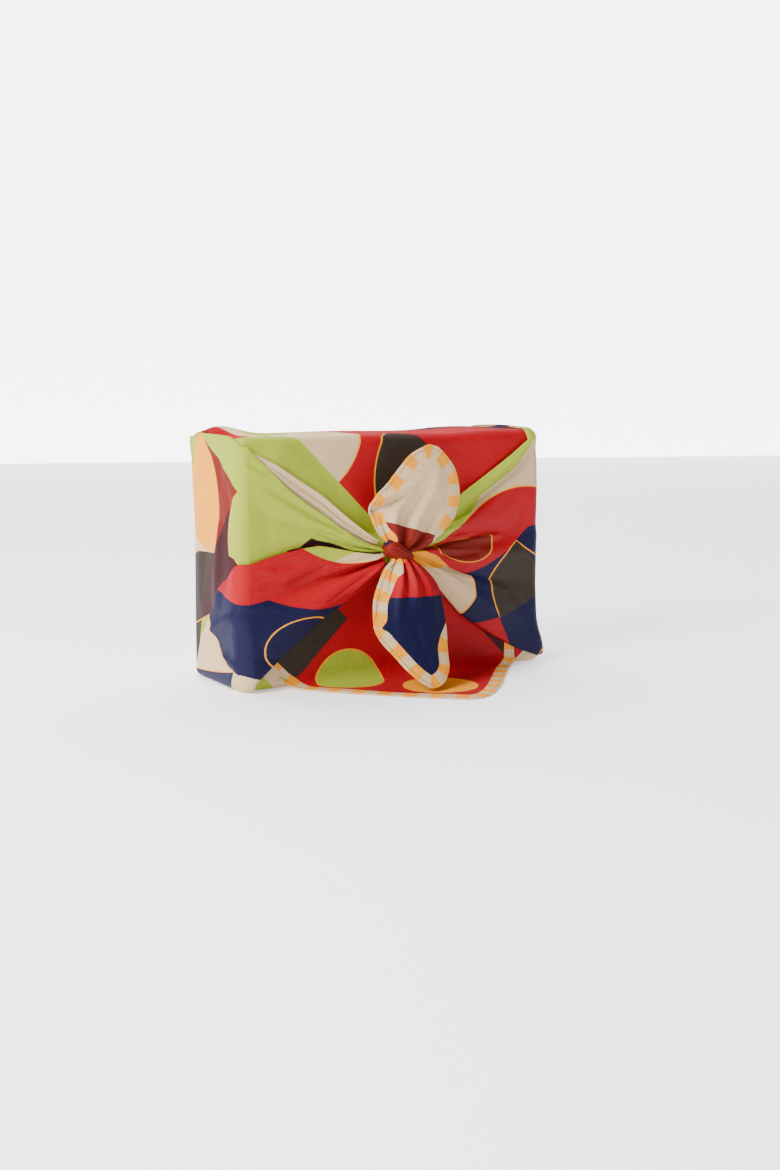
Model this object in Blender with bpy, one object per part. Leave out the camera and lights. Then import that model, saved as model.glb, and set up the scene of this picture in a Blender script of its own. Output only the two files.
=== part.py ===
import math
from collections import namedtuple

import bmesh
import bpy
import numpy as np

# Sizes in metres. X runs to the right along the front, -Y is towards the viewer, Z is up.
# The origin is on the surface the parcel stands on, under the middle of the parcel's box.
PARCEL_WIDTH = 0.297
PARCEL_DEPTH = 0.097
PARCEL_HEIGHT = 0.2095
EDGE_ROUND = 0.008
CORNER_ROUND = 0.0075
SHEET = 0.002

KNOT_X = -0.010
KNOT_Z = 0.112
KNOT_PROUD = 0.021
KNOT_HALF = (0.0175, 0.0095, 0.0095)
KNOT_TURN = math.radians(24)

FLAP_RISE = 0.017

POCKET_LEFT = -0.1500
POCKET_RIGHT = -0.1270
POCKET_FRONT = -0.0385
POCKET_BACK = 0.0455
POCKET_FLOOR = 0.186

# One row for each line that runs from the knot to the edge of the front, going round
# anticlockwise from the lower edge of the right wing. Angles are in degrees from +X,
# heights in millimetres above the parcel's face; near is beside the knot, far is at
# the edge of the front. strips is how many mesh strips lead to the next row.
Line = namedtuple("Line", "name a_near a_mid a_far h_near h_mid h_far strips")
FRONT_LINES = (
    Line("right wing, under its lower edge", -30.5, -39.0, -34.0, 7.0, 1.6, 1.6, 1),
    Line("right wing, lower edge", -28.0, -37.0, -32.4, 15.0, 7.5, 5.5, 3),
    Line("right wing, lower ridge", -20.0, -27.0, -23.0, 18.5, 10.5, 6.0, 3),
    Line("right wing, lower trough", -13.0, -17.5, -14.0, 14.5, 5.5, 3.4, 2),
    Line("right wing, middle ridge", -6.0, -6.5, -5.0, 19.0, 9.0, 3.8, 3),
    Line("right wing, middle trough", 1.0, 4.0, 5.5, 14.5, 4.4, 2.4, 2),
    Line("right wing, upper ridge", 9.0, 13.0, 16.0, 18.0, 8.2, 4.0, 2),
    Line("right wing, deep fold", 15.0, 23.5, 27.5, 13.0, 3.8, 2.4, 1),
    Line("right wing, upper band", 20.0, 28.0, 30.0, 18.0, 9.0, 5.0, 2),
    Line("right wing, upper edge", 27.0, 34.0, 33.2, 15.0, 7.5, 4.0, 1),
    Line("right wing, above its upper edge", 31.0, 36.0, 35.0, 8.0, 1.6, 1.6, 4),
    Line("top panel, right", 60.0, 56.0, 52.0, 3.0, 1.6, 1.6, 5),
    Line("top panel, middle", 92.0, 92.0, 90.0, 3.5, 1.6, 1.6, 6),
    Line("top panel, left", 128.0, 126.0, 124.0, 4.0, 1.6, 1.6, 3),
    Line("left wing, above its upper edge", 143.0, 143.5, 140.5, 7.0, 1.6, 2.0, 1),
    Line("left wing, under band", 146.0, 145.5, 142.6, 14.0, 5.0, 3.4, 2),
    Line("left wing, upper edge", 153.0, 150.0, 147.0, 17.0, 9.0, 4.4, 3),
    Line("left wing, upper trough", 163.0, 158.0, 157.0, 14.0, 4.6, 2.6, 2),
    Line("left wing, upper ridge", 172.0, 165.5, 166.0, 18.5, 7.5, 3.0, 2),
    Line("left wing, above the lap", 181.0, 173.5, 180.5, 14.5, 3.8, 1.8, 1),
    Line("left wing, lap", 184.0, 176.0, 182.5, 17.0, 6.6, 4.4, 2),
    Line("left wing, middle ridge", 192.0, 189.0, 188.5, 18.5, 9.0, 4.4, 2),
    Line("left wing, middle trough", 201.0, 197.5, 196.0, 14.0, 5.0, 3.2, 2),
    Line("left wing, lower ridge", 212.0, 208.0, 206.5, 18.5, 10.0, 5.0, 2),
    Line("left wing, lower trough", 221.0, 216.0, 213.5, 15.5, 7.0, 4.4, 2),
    Line("left wing, lower edge", 233.0, 224.0, 221.0, 15.0, 7.5, 6.0, 1),
    Line("left wing, under its lower edge", 237.0, 226.5, 223.0, 7.0, 1.6, 1.6, 4),
    Line("lower panel, left", 252.0, 247.0, 246.0, 4.0, 1.6, 1.6, 5),
    Line("lower panel, middle", 274.0, 274.0, 274.0, 3.5, 1.6, 1.6, 5),
    Line("lower panel, right", 304.0, 299.0, 301.0, 3.5, 1.6, 1.6, 4),
)
RING_NEAR = 0.16
RING_MID = 0.52
FRONT_RINGS = (0.05, 0.10, 0.16, 0.24, 0.33, 0.42, 0.52, 0.64, 0.76, 0.88, 1.0)
SIDE_RINGS = (0.0, 0.16, 0.34, 0.52, 0.70, 0.86, 1.0)
EDGE_TURNS = (0.5, 1.0)
BACK_RINGS = (0.82, 0.6, 0.34, 0.12)

# Soft places on the outside of the parcel, each a bell around a point of its box.
# The middle and the spread are in metres, the push in millimetres.
Swell = namedtuple("Swell", "name x y z sx sy sz dx dy dz")
SWELLS = (
    Swell("rim of the pocket, back", -0.124, 0.046, 0.212, 0.022, 0.030, 0.03, 0, 0.5, 7.6),
    Swell("rim of the pocket, left end", -0.149, 0.010, 0.212, 0.012, 0.060, 0.05, -4.6, 0, 0.6),
    Swell("left end, waist", -0.149, 0.020, 0.120, 0.012, 0.050, 0.05, 1.2, 0, 0),
    Swell("left end, pinch", -0.149, -0.030, 0.076, 0.012, 0.034, 0.034, -2.4, 0, 0),
    Swell("lower left corner", -0.136, -0.049, 0.008, 0.026, 0.018, 0.02, 0.5, -3.6, 0),
    Swell("right foot", 0.149, -0.049, 0.011, 0.018, 0.026, 0.020, 6.4, -3.6, 0),
    Swell("top right, rise", 0.106, 0.010, 0.212, 0.036, 0.070, 0.02, 0, 0, 5.0),
    Swell("top right, corner", 0.144, -0.010, 0.208, 0.016, 0.080, 0.024, -1.8, 0, 3.6),
    Swell("top left, hump of the fold", -0.112, -0.050, 0.190, 0.014, 0.010, 0.018, 0, -2.6, 1.0),
    Swell("top edge, middle", -0.010, 0.010, 0.212, 0.070, 0.060, 0.02, 0, 0, 2.0),
    Swell("right end, belly", 0.149, 0.0, 0.110, 0.012, 0.035, 0.06, 1.6, 0, 0),
    Swell("back, belly", 0.010, 0.049, 0.105, 0.090, 0.012, 0.06, 0, 1.5, 0),
)

# The outline of the corner that lies on the surface, from left to right, and how far it
# reaches in front of the parcel there. Millimetres.
Reach = namedtuple("Reach", "x reach")
FLAP_EDGE = (
    Reach(-106, 4),
    Reach(-89, 29),
    Reach(-66, 55),
    Reach(-41, 79),
    Reach(-17, 101),
    Reach(-1, 115),
    Reach(8, 119),
    Reach(17, 116.5),
    Reach(29, 109),
    Reach(51, 87),
    Reach(86, 44),
    Reach(121, 4),
)

# The two free ends. along is the row's distance above or below the knot, left and right
# are the sheet's edges either side of the middle line, proud is how far the row stands in
# front of the face, and curl is how far its two edges bend forwards. Millimetres.
Row = namedtuple("Row", "along left right proud curl_left curl_right")
UP_EAR = (
    Row(0, -7, 8, 20, 0, 0),
    Row(4, -12, 16, 22.5, -3, -2),
    Row(10, -23, 25, 26, -5, -4),
    Row(20, -34, 33, 27.5, -5, -4),
    Row(30, -39, 39, 27, -3, -3),
    Row(40, -37, 43, 28, -2, -2),
    Row(50, -31, 43, 29, -2, -2),
    Row(60, -26, 41.5, 30, -3, -2),
    Row(70, -21.5, 37.5, 31, -3, -3),
    Row(80, -16.5, 30.5, 31, -2, -2),
    Row(88, -9, 20, 30.5, 0, -1),
    Row(94, -1, 8, 30, 0, 0),
)
DOWN_EAR = (
    Row(0, -6, 7, 20, 0, 0),
    Row(4, -7, 12, 24, -2, -2),
    Row(8, -8, 15, 27, -4, -4),
    Row(15, -16.5, 23, 33, -7, -6),
    Row(26, -25, 31, 41, -9, -8),
    Row(38, -32.5, 33, 47, -8.5, -8),
    Row(53, -37, 32, 54, -7, -7),
    Row(63, -38, 30.5, 59, -6, -6),
    Row(72, -34, 28.5, 63, -5, -5),
    Row(82, -26, 26, 68, -4, -4),
    Row(93, -17.5, 23.5, 74, -3, -3),
    Row(101, -9.5, 17, 79, -1.5, -1.5),
    Row(105, -4, 10, 82, 0, 0),
    Row(107, -1, 4, 83, 0, 0),
)
UP_EAR_LEAN = math.radians(16)
DOWN_EAR_LEAN = math.radians(-2)
EAR_STRIPS = 14
# Creases that fan out from the knot along an ear: where each lies across the sheet
# (-1 left edge, 1 right edge), its height in millimetres and how far it runs.
Crease = namedtuple("Crease", "across height width run")
UP_CREASES = (
    Crease(-0.42, 4.6, 0.20, 0.62),
    Crease(-0.05, -3.6, 0.20, 0.50),
    Crease(0.32, 3.4, 0.18, 0.55),
    Crease(0.66, -2.2, 0.16, 0.70),
)
DOWN_CREASES = (
    Crease(-0.55, 3.6, 0.18, 0.80),
    Crease(-0.18, -2.6, 0.15, 0.55),
    Crease(0.12, 2.8, 0.15, 0.75),
    Crease(0.48, -2.4, 0.16, 0.55),
)


def clear_scene():
    for thing in list(bpy.data.objects):
        bpy.data.objects.remove(thing, do_unlink=True)
    for mesh in list(bpy.data.meshes):
        bpy.data.meshes.remove(mesh)


def make_object(name, points, faces):
    mesh = bpy.data.meshes.new(name)
    mesh.from_pydata([tuple(map(float, p)) for p in points], [], faces)
    mesh.validate()
    work = bmesh.new()
    work.from_mesh(mesh)
    bmesh.ops.recalc_face_normals(work, faces=work.faces)
    work.to_mesh(mesh)
    work.free()
    thing = bpy.data.objects.new(name, mesh)
    bpy.context.scene.collection.objects.link(thing)
    return thing


def meridians():
    """Angles and heights of every mesh line of the front, at near, mid and far."""
    rows = []
    for k, line in enumerate(FRONT_LINES):
        after = FRONT_LINES[(k + 1) % len(FRONT_LINES)]
        turn = 360.0 if k == len(FRONT_LINES) - 1 else 0.0
        here = np.array(line[1:7])
        there = np.array(after[1:7]) + np.array([turn] * 3 + [0.0] * 3)
        for step in range(line.strips):
            share = step / line.strips
            soft = (1 - math.cos(math.pi * share)) / 2
            angles = here[:3] + (there[:3] - here[:3]) * share
            heights = here[3:] + (there[3:] - here[3:]) * soft
            rows.append((np.radians(angles), heights / 1000))
    return rows


def along_line(three, s):
    """A value given beside the knot, half way and at the edge, at the share s."""
    near, mid, far = three
    if s <= RING_NEAR:
        return near
    if s <= RING_MID:
        share = (s - RING_NEAR) / (RING_MID - RING_NEAR)
        return mid + (near - mid) * (1 - share) ** 1.5
    share = (s - RING_MID) / (1 - RING_MID)
    return mid + (far - mid) * share


def outline_point(angle, start_x, start_z):
    """Where a ray in the face's plane meets the rounded outline, and its normal."""
    half, high, r = PARCEL_WIDTH / 2, PARCEL_HEIGHT, CORNER_ROUND
    dx, dz = math.cos(angle), math.sin(angle)
    reach_x = ((half if dx > 0 else -half) - start_x) / dx if abs(dx) > 1e-9 else 9.0
    reach_z = ((high if dz > 0 else 0.0) - start_z) / dz if abs(dz) > 1e-9 else 9.0
    reach = min(reach_x, reach_z)
    x, z = start_x + dx * reach, start_z + dz * reach
    normal = (math.copysign(1, dx), 0.0) if reach_x < reach_z else (0.0, math.copysign(1, dz))
    corner_x = math.copysign(half - r, x)
    corner_z = high - r if z > high / 2 else r
    beyond_x = (x - corner_x) * math.copysign(1, x) > 0
    beyond_z = (z > corner_z) if z > high / 2 else (z < corner_z)
    if beyond_x and beyond_z:
        bx, bz = start_x - corner_x, start_z - corner_z
        b = bx * dx + bz * dz
        reach = -b + math.sqrt(max(b * b - (bx * bx + bz * bz - r * r), 0.0))
        x, z = start_x + dx * reach, start_z + dz * reach
        normal = ((x - corner_x) / r, (z - corner_z) / r)
    return x, z, normal


def swell(point):
    x, y, z = point
    moved = [x, y, z]
    for s in SWELLS:
        away = ((x - s.x) / s.sx) ** 2 + ((y - s.y) / s.sy) ** 2 + ((z - s.z) / s.sz) ** 2
        bell = math.exp(-away)
        for axis, push in enumerate((s.dx, s.dy, s.dz)):
            moved[axis] += push * bell / 1000
    if z < 0.001:
        moved[2] = z
    return moved


def wrapped_parcel():
    """The closed outside of the wrap: front with its folds, ends, top, base and back."""
    lines = meridians()
    front = -PARCEL_DEPTH / 2
    back = PARCEL_DEPTH / 2
    r = EDGE_ROUND
    rings = []
    for s in FRONT_RINGS:
        ring = []
        for angles, heights in lines:
            far_x, far_z, (nx, nz) = outline_point(angles[2], KNOT_X, KNOT_Z)
            edge_x, edge_z = far_x - nx * r, far_z - nz * r
            reach = math.hypot(edge_x - KNOT_X, edge_z - KNOT_Z)
            edge_angle = math.atan2(edge_z - KNOT_Z, edge_x - KNOT_X)
            bend = along_line(angles, s) - angles[2]
            near_top = min(1.0, s / RING_NEAR)
            height = along_line(heights, s)
            height = height * near_top + (KNOT_PROUD - 0.003) * (1 - near_top)
            x = KNOT_X + reach * s * math.cos(edge_angle + bend)
            z = KNOT_Z + reach * s * math.sin(edge_angle + bend)
            ring.append((x, front - height, z))
        rings.append(ring)
    for turn in EDGE_TURNS:
        phi = turn * math.pi / 2
        ring = []
        for angles, heights in lines:
            far_x, far_z, (nx, nz) = outline_point(angles[2], KNOT_X, KNOT_Z)
            inset = r * (1 - math.sin(phi))
            lift = heights[2] * (1 - turn * 0.75)
            ring.append(
                (far_x - nx * inset, front - lift + r * (1 - math.cos(phi)), far_z - nz * inset)
            )
        rings.append(ring)
    for s in SIDE_RINGS[1:]:
        y = front + r + (back - front - 2 * r) * s
        rings.append([(*outline_point(a[2], KNOT_X, KNOT_Z)[:2], y) for a, _ in lines])
        rings[-1] = [(x, y, z) for x, z, y in rings[-1]]
    for turn in reversed((0.0,) + EDGE_TURNS[:-1]):
        phi = turn * math.pi / 2
        ring = []
        for angles, _ in lines:
            far_x, far_z, (nx, nz) = outline_point(angles[2], KNOT_X, KNOT_Z)
            inset = r * (1 - math.sin(phi))
            ring.append((far_x - nx * inset, back - r * (1 - math.cos(phi)), far_z - nz * inset))
        rings.append(ring)
    middle = (0.0, PARCEL_HEIGHT / 2)
    for s in BACK_RINGS:
        rings.append(
            [
                (middle[0] + (x - middle[0]) * s, back, middle[1] + (z - middle[1]) * s)
                for x, _, z in rings[-1 if s == BACK_RINGS[0] else back_edge]
            ]
        )
        if s == BACK_RINGS[0]:
            back_edge = len(rings) - 2
    count = len(lines)
    points = [swell(p) for ring in rings for p in ring]
    first = len(points)
    points.append((KNOT_X, front - KNOT_PROUD + 0.003, KNOT_Z))
    points.append(swell((middle[0], back, middle[1])))
    faces = []
    for k in range(count):
        after = (k + 1) % count
        faces.append((first, k, after))
        for i in range(len(rings) - 1):
            a, b = i * count, (i + 1) * count
            faces.append((a + k, b + k, b + after, a + after))
        last = (len(rings) - 1) * count
        faces.append((first + 1, last + after, last + k))
    return make_object("furoshiki_wrap", points, faces)


def sheet_solid(name, middle_points):
    """A closed sheet of the cloth's thickness around a grid of points."""
    grid = np.array(middle_points)
    across = np.gradient(grid, axis=1)
    down = np.gradient(grid, axis=0)
    normal = np.cross(across, down)
    normal /= np.linalg.norm(normal, axis=2, keepdims=True)
    rows, columns = grid.shape[:2]
    points = np.concatenate(
        [(grid + normal * SHEET / 2).reshape(-1, 3), (grid - normal * SHEET / 2).reshape(-1, 3)]
    )
    size = rows * columns
    faces = []
    for i in range(rows - 1):
        for j in range(columns - 1):
            a = i * columns + j
            quad = (a, a + 1, a + columns + 1, a + columns)
            faces.append(quad)
            faces.append(tuple(size + v for v in reversed(quad)))
    rim = [j for j in range(columns)]
    rim += [i * columns + columns - 1 for i in range(1, rows)]
    rim += [(rows - 1) * columns + j for j in range(columns - 2, -1, -1)]
    rim += [i * columns for i in range(rows - 2, 0, -1)]
    for k, a in enumerate(rim):
        b = rim[(k + 1) % len(rim)]
        faces.append((b, a, size + a, size + b))
    return make_object(name, points, faces)


def ear(name, table, creases, lean, upwards):
    """One free end of the cloth, from inside the knot out to its corner."""
    reach = table[-1].along
    grid = []
    for row in table:
        line = []
        for j in range(EAR_STRIPS + 1):
            u = -1 + 2 * j / EAR_STRIPS
            offset = row.left + (row.right - row.left) * (u + 1) / 2
            curl = (row.curl_left if u < 0 else row.curl_right) * u * u
            share = max(row.along, 0) / reach
            fold = sum(
                c.height
                * math.exp(-(((u - c.across) / c.width) ** 2))
                * math.sin(math.pi * min(1.0, share / 0.12) / 2)
                * max(0.0, 1 - share / c.run) ** 1.2
                for c in creases
            )
            rise = row.along
            side = 1 if upwards else -1
            x = KNOT_X * 1000 + offset * math.cos(lean) + rise * math.sin(lean)
            z = KNOT_Z * 1000 + side * rise * math.cos(lean) - side * offset * math.sin(lean)
            y = -PARCEL_DEPTH * 500 - row.proud - curl - fold
            line.append((x / 1000, y / 1000, z / 1000))
        grid.append(line)
    return sheet_solid(name, grid)


def knot():
    """The tie: a short tilted roll of cloth with the band's two folds round it."""
    around, along = 18, 12
    points, faces = [], []
    for i in range(1, along):
        phi = math.pi * i / along
        for k in range(around):
            theta = 2 * math.pi * k / around
            band = 1 + 0.10 * math.cos(2 * (phi - 0.3) * 2) + 0.05 * math.cos(3 * theta + 1)
            lx = -KNOT_HALF[0] * math.cos(phi)
            ly = -KNOT_HALF[1] * math.sin(phi) * math.cos(theta) * band
            lz = KNOT_HALF[2] * math.sin(phi) * math.sin(theta) * band
            x = KNOT_X + lx * math.cos(KNOT_TURN) + lz * math.sin(KNOT_TURN)
            z = KNOT_Z - lx * math.sin(KNOT_TURN) + lz * math.cos(KNOT_TURN)
            points.append((x, -PARCEL_DEPTH / 2 - KNOT_PROUD + ly, z))
    for end in (-1, 1):
        x = KNOT_X + end * KNOT_HALF[0] * math.cos(KNOT_TURN)
        z = KNOT_Z - end * KNOT_HALF[0] * math.sin(KNOT_TURN)
        points.append((x, -PARCEL_DEPTH / 2 - KNOT_PROUD, z))
    rings = along - 1
    for k in range(around):
        after = (k + 1) % around
        for i in range(rings - 1):
            a, b = i * around, (i + 1) * around
            faces.append((a + k, a + after, b + after, b + k))
        faces.append((rings * around, after, k))
        last = (rings - 1) * around
        faces.append((rings * around + 1, last + k, last + after))
    return make_object("knot", points, faces)


def lying_flap():
    """The corner of the cloth that lies on the surface in front of the parcel."""
    front = -PARCEL_DEPTH / 2
    shares = (0.0, 0.02, 0.045, 0.08, 0.14, 0.24, 0.38, 0.54, 0.70, 0.86, 1.0)
    places = []
    for a, b in zip(FLAP_EDGE[:-1], FLAP_EDGE[1:]):
        places += [(a.x, a.reach), ((a.x + b.x) / 2, (a.reach + b.reach) / 2)]
    places.append((FLAP_EDGE[-1].x, FLAP_EDGE[-1].reach))
    columns = len(places) - 1
    top, base = [], []
    for share in shares:
        for x_mm, reach_mm in places:
            x, reach = x_mm / 1000, reach_mm / 1000
            d = reach * share
            rise = FLAP_RISE * math.exp(-d / 0.0045) * min(1.0, reach / 0.02)
            wave = 0.0007 * math.sin(x / 0.016 + 1.0) * math.sin(math.pi * share)
            top.append((x, front - d, SHEET + rise + wave + 0.0004 * (share > 0)))
            base.append((x, front - d, 0.0))
    inner_top = [(p[0], front + 0.012, p[2]) for p in top[: columns + 1]]
    inner_base = [(p[0], front + 0.012, 0.0) for p in top[: columns + 1]]
    top, base = inner_top + top, inner_base + base
    width, rows = columns + 1, len(shares) + 1
    size = len(top)
    points = top + base
    faces = []
    for i in range(rows - 1):
        for j in range(width - 1):
            a = i * width + j
            faces.append((a, a + 1, a + width + 1, a + width))
            faces.append((size + a, size + a + width, size + a + width + 1, size + a + 1))
    rim = [j for j in range(width)]
    rim += [i * width + width - 1 for i in range(1, rows)]
    rim += [(rows - 1) * width + j for j in range(width - 2, -1, -1)]
    rim += [i * width for i in range(rows - 2, 0, -1)]
    for k, a in enumerate(rim):
        b = rim[(k + 1) % len(rim)]
        faces.append((b, a, size + a, size + b))
    return make_object("lying_flap", points, faces)


def pocket_cutter():
    """The open mouth of the fold at the top of the left end, narrowing downwards."""
    top = PARCEL_HEIGHT + 0.03
    rim = PARCEL_HEIGHT + 0.002
    middle = (POCKET_LEFT + POCKET_RIGHT) / 2
    rows = (
        (POCKET_FLOOR, middle - 0.006, middle - 0.001, 0.55),
        (POCKET_FLOOR + 0.009, POCKET_LEFT + 0.004, middle + 0.005, 0.85),
        (rim, POCKET_LEFT - 0.0024, POCKET_RIGHT, 1.0),
        (top, POCKET_LEFT - 0.0024, POCKET_RIGHT, 1.0),
    )
    centre = (POCKET_FRONT + POCKET_BACK) / 2
    half = (POCKET_BACK - POCKET_FRONT) / 2
    points, faces = [], []
    for z, left, right, share in rows:
        for k in range(20):
            theta = 2 * math.pi * k / 20
            c, s = math.cos(theta), math.sin(theta)
            round_x = math.copysign(abs(c) ** 0.6, c)
            round_y = math.copysign(abs(s) ** 0.45, s)
            x = (left + right) / 2 + (right - left) / 2 * round_x
            points.append((x, centre + half * share * round_y, z))
    for i in range(len(rows) - 1):
        for k in range(20):
            after = (k + 1) % 20
            faces.append((i * 20 + k, i * 20 + after, i * 20 + 20 + after, i * 20 + 20 + k))
    faces.append(tuple(reversed(range(20))))
    faces.append(tuple(range(60, 80)))
    return make_object("pocket_cutter", points, faces)


def combine(body, tool, operation):
    step = body.modifiers.new(tool.name, "BOOLEAN")
    step.operation = operation
    step.solver = "EXACT"
    step.object = tool
    bpy.context.view_layer.objects.active = body
    bpy.context.view_layer.update()
    made = bpy.data.meshes.new_from_object(body.evaluated_get(bpy.context.evaluated_depsgraph_get()))
    body.modifiers.clear()
    body.data = made
    bpy.data.objects.remove(tool, do_unlink=True)


def cloth_material():
    material = bpy.data.materials.new("printed cotton")
    material.use_nodes = True
    shader = material.node_tree.nodes["Principled BSDF"]
    shader.inputs["Base Color"].default_value = (0.50, 0.045, 0.040, 1)
    shader.inputs["Roughness"].default_value = 0.6
    return material


clear_scene()
wrap = wrapped_parcel()
combine(wrap, pocket_cutter(), "DIFFERENCE")
combine(wrap, lying_flap(), "UNION")
combine(wrap, knot(), "UNION")
combine(wrap, ear("up_ear", UP_EAR, UP_CREASES, UP_EAR_LEAN, True), "UNION")
combine(wrap, ear("down_ear", DOWN_EAR, DOWN_CREASES, DOWN_EAR_LEAN, False), "UNION")
wrap.name = "furoshiki_wrap"
wrap.data.name = "furoshiki_wrap"
wrap.data.materials.clear()
wrap.data.materials.append(cloth_material())
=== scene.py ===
import math
from collections import namedtuple

import bpy
import numpy as np
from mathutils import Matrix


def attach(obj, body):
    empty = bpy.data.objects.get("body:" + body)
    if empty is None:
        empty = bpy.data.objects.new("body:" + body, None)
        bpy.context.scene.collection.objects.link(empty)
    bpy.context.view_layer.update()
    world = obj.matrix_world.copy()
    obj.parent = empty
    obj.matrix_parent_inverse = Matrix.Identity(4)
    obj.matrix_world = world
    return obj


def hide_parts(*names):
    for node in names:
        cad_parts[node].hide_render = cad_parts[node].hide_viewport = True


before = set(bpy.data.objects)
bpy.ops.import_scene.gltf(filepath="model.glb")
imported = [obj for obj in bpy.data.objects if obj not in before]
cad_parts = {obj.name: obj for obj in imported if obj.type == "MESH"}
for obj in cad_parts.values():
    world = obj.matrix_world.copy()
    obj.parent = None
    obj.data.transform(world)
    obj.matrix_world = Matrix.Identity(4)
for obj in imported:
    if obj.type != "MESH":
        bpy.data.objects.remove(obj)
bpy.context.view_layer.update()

# The camera stands to the left of the parcel, a little above its top edge, at the
# photograph's viewing angle.
CAMERA_PLACE = (-0.6349, -1.1519, 0.2514)
CAMERA_TURN = math.radians(-29.68)
CAMERA_DIP = math.radians(7.66)
CAMERA_LENS = 45.61

bpy.ops.object.select_all(action="DESELECT")
bpy.ops.object.camera_add(
    location=CAMERA_PLACE,
    rotation=(math.pi / 2 - CAMERA_DIP, 0, CAMERA_TURN),
)
camera = bpy.context.object
camera.name = "camera"
camera.data.sensor_width = 36
camera.data.lens = CAMERA_LENS
camera.data.clip_start = 0.05
bpy.context.scene.camera = camera


def linear(hex_colour):
    """An sRGB hex value as linear red, green, blue and alpha."""
    parts = [int(hex_colour[i : i + 2], 16) / 255 for i in (1, 3, 5)]
    return [p / 12.92 if p <= 0.04045 else ((p + 0.055) / 1.055) ** 2.4 for p in parts] + [1.0]


def add(tree, kind, inputs=None, **settings):
    """Adds a node with its settings, and sets or links its inputs by name or number."""
    node = tree.nodes.new("ShaderNode" + kind)
    for name, value in settings.items():
        setattr(node, name, value)
    for key, value in (inputs or {}).items():
        socket = node.inputs[key]
        if isinstance(value, bpy.types.NodeSocket):
            tree.links.new(value, socket)
        else:
            socket.default_value = value
    return node


def maths(tree, operation, *values):
    """The result of a Math node."""
    return add(tree, "Math", dict(enumerate(values)), operation=operation).outputs[0]


def blend(tree, factor, first, second):
    """The first colour where factor is 0, the second where it is 1."""
    return add(tree, "Mix", {0: factor, 6: first, 7: second}, data_type="RGBA").outputs[2]


# The studio: a pale floor and a lit backdrop, one large soft light from the left, a sheet
# of light above, a weak one from the front, and an even pale surround.
FLOOR_COLOUR = "#FBFAFC"
FLOOR_GLOW = 0.5

bpy.ops.mesh.primitive_plane_add(size=8, location=(0, 0.6, 0))
floor = bpy.context.object
floor.name = "floor"
floor_paint = bpy.data.materials.new("painted floor")
floor_paint.use_nodes = True
floor_shader = floor_paint.node_tree.nodes["Principled BSDF"]
floor_shader.inputs["Base Color"].default_value = linear(FLOOR_COLOUR)
floor_shader.inputs["Roughness"].default_value = 0.7
floor_shader.inputs["Emission Color"].default_value = linear(FLOOR_COLOUR)
floor_shader.inputs["Emission Strength"].default_value = FLOOR_GLOW
floor.data.materials.append(floor_paint)

Lamp = namedtuple("Lamp", "name place aim size power colour")
BACKDROP_GLOW = 5.5
SURROUND = linear("#F6F5FA")
WORLD_LIGHT = 0.22
bpy.ops.object.select_all(action="DESELECT")
bpy.ops.mesh.primitive_plane_add(size=12, location=(1.5, 3.4, 2.0), rotation=(math.pi / 2, 0, -0.3))
backdrop = bpy.context.object
backdrop.name = "backdrop"
backdrop_paint = bpy.data.materials.new("lit studio backdrop")
backdrop_paint.use_nodes = True
backdrop_shader = backdrop_paint.node_tree.nodes["Principled BSDF"]
backdrop_shader.inputs["Base Color"].default_value = SURROUND
backdrop_shader.inputs["Emission Color"].default_value = SURROUND
backdrop_shader.inputs["Emission Strength"].default_value = BACKDROP_GLOW
backdrop.data.materials.append(backdrop_paint)
backdrop.visible_glossy = False

LAMPS = (
    Lamp("left window", (-1.75, -0.55, 1.25), (-0.05, 0.0, 0.1), 0.9, 100, "#FFFDF8"),
    Lamp("top sheet", (-0.2, 0.5, 1.9), (0.0, 0.0, 0.1), 1.6, 30, "#F7F8FF"),
    Lamp("front fill", (-0.9, -2.2, 0.9), (0.0, 0.0, 0.1), 1.4, 2, "#FFFBF5"),
)
for lamp in LAMPS:
    bpy.ops.object.light_add(type="AREA", location=lamp.place)
    light = bpy.context.object
    light.name = lamp.name
    light.data.size = lamp.size
    light.data.energy = lamp.power
    light.data.color = linear(lamp.colour)[:3]
    away = [a - b for a, b in zip(lamp.place, lamp.aim)]
    flat = math.hypot(away[0], away[1])
    light.rotation_euler = (math.atan2(flat, away[2]), 0, math.atan2(away[0], -away[1]))
world = bpy.data.worlds.new("studio")
bpy.context.scene.world = world
world.use_nodes = True
surround = world.node_tree.nodes["Background"]
surround.inputs["Color"].default_value = SURROUND
seen = add(world.node_tree, "LightPath").outputs["Is Camera Ray"]
glow = add(world.node_tree, "MapRange", {0: seen, 3: WORLD_LIGHT, 4: BACKDROP_GLOW}).outputs[0]
world.node_tree.links.new(glow, surround.inputs["Strength"])


# The cloth's finish: a closely woven cotton sateen with a soft sheen, screen printed with a
# bold design of half squares, quarter rounds and discs on an 82 mm grid, crossed by plain
# bands, and with a border of 11 mm blocks and a stitched hem along the cloth's edges.
RED = linear("#9A0312")
RUST = linear("#6B1309")
LIME = linear("#919F2C")
CREAM = linear("#C2A780")
NAVY = linear("#0F0F32")
OCHRE = linear("#E08F0C")
PLUM = linear("#300C13")
CHARCOAL = linear("#2E261F")
THREAD = linear("#B5772A")
GROUNDS = (CHARCOAL, RED, LIME, PLUM, CHARCOAL, CREAM, NAVY, RUST, RED, PLUM)
MOTIFS = (RED, LIME, NAVY, RUST, CREAM, CHARCOAL, RED, NAVY, OCHRE, LIME)
GRID = 0.082
BLOCK = 0.011
HEM = 0.0027


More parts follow.
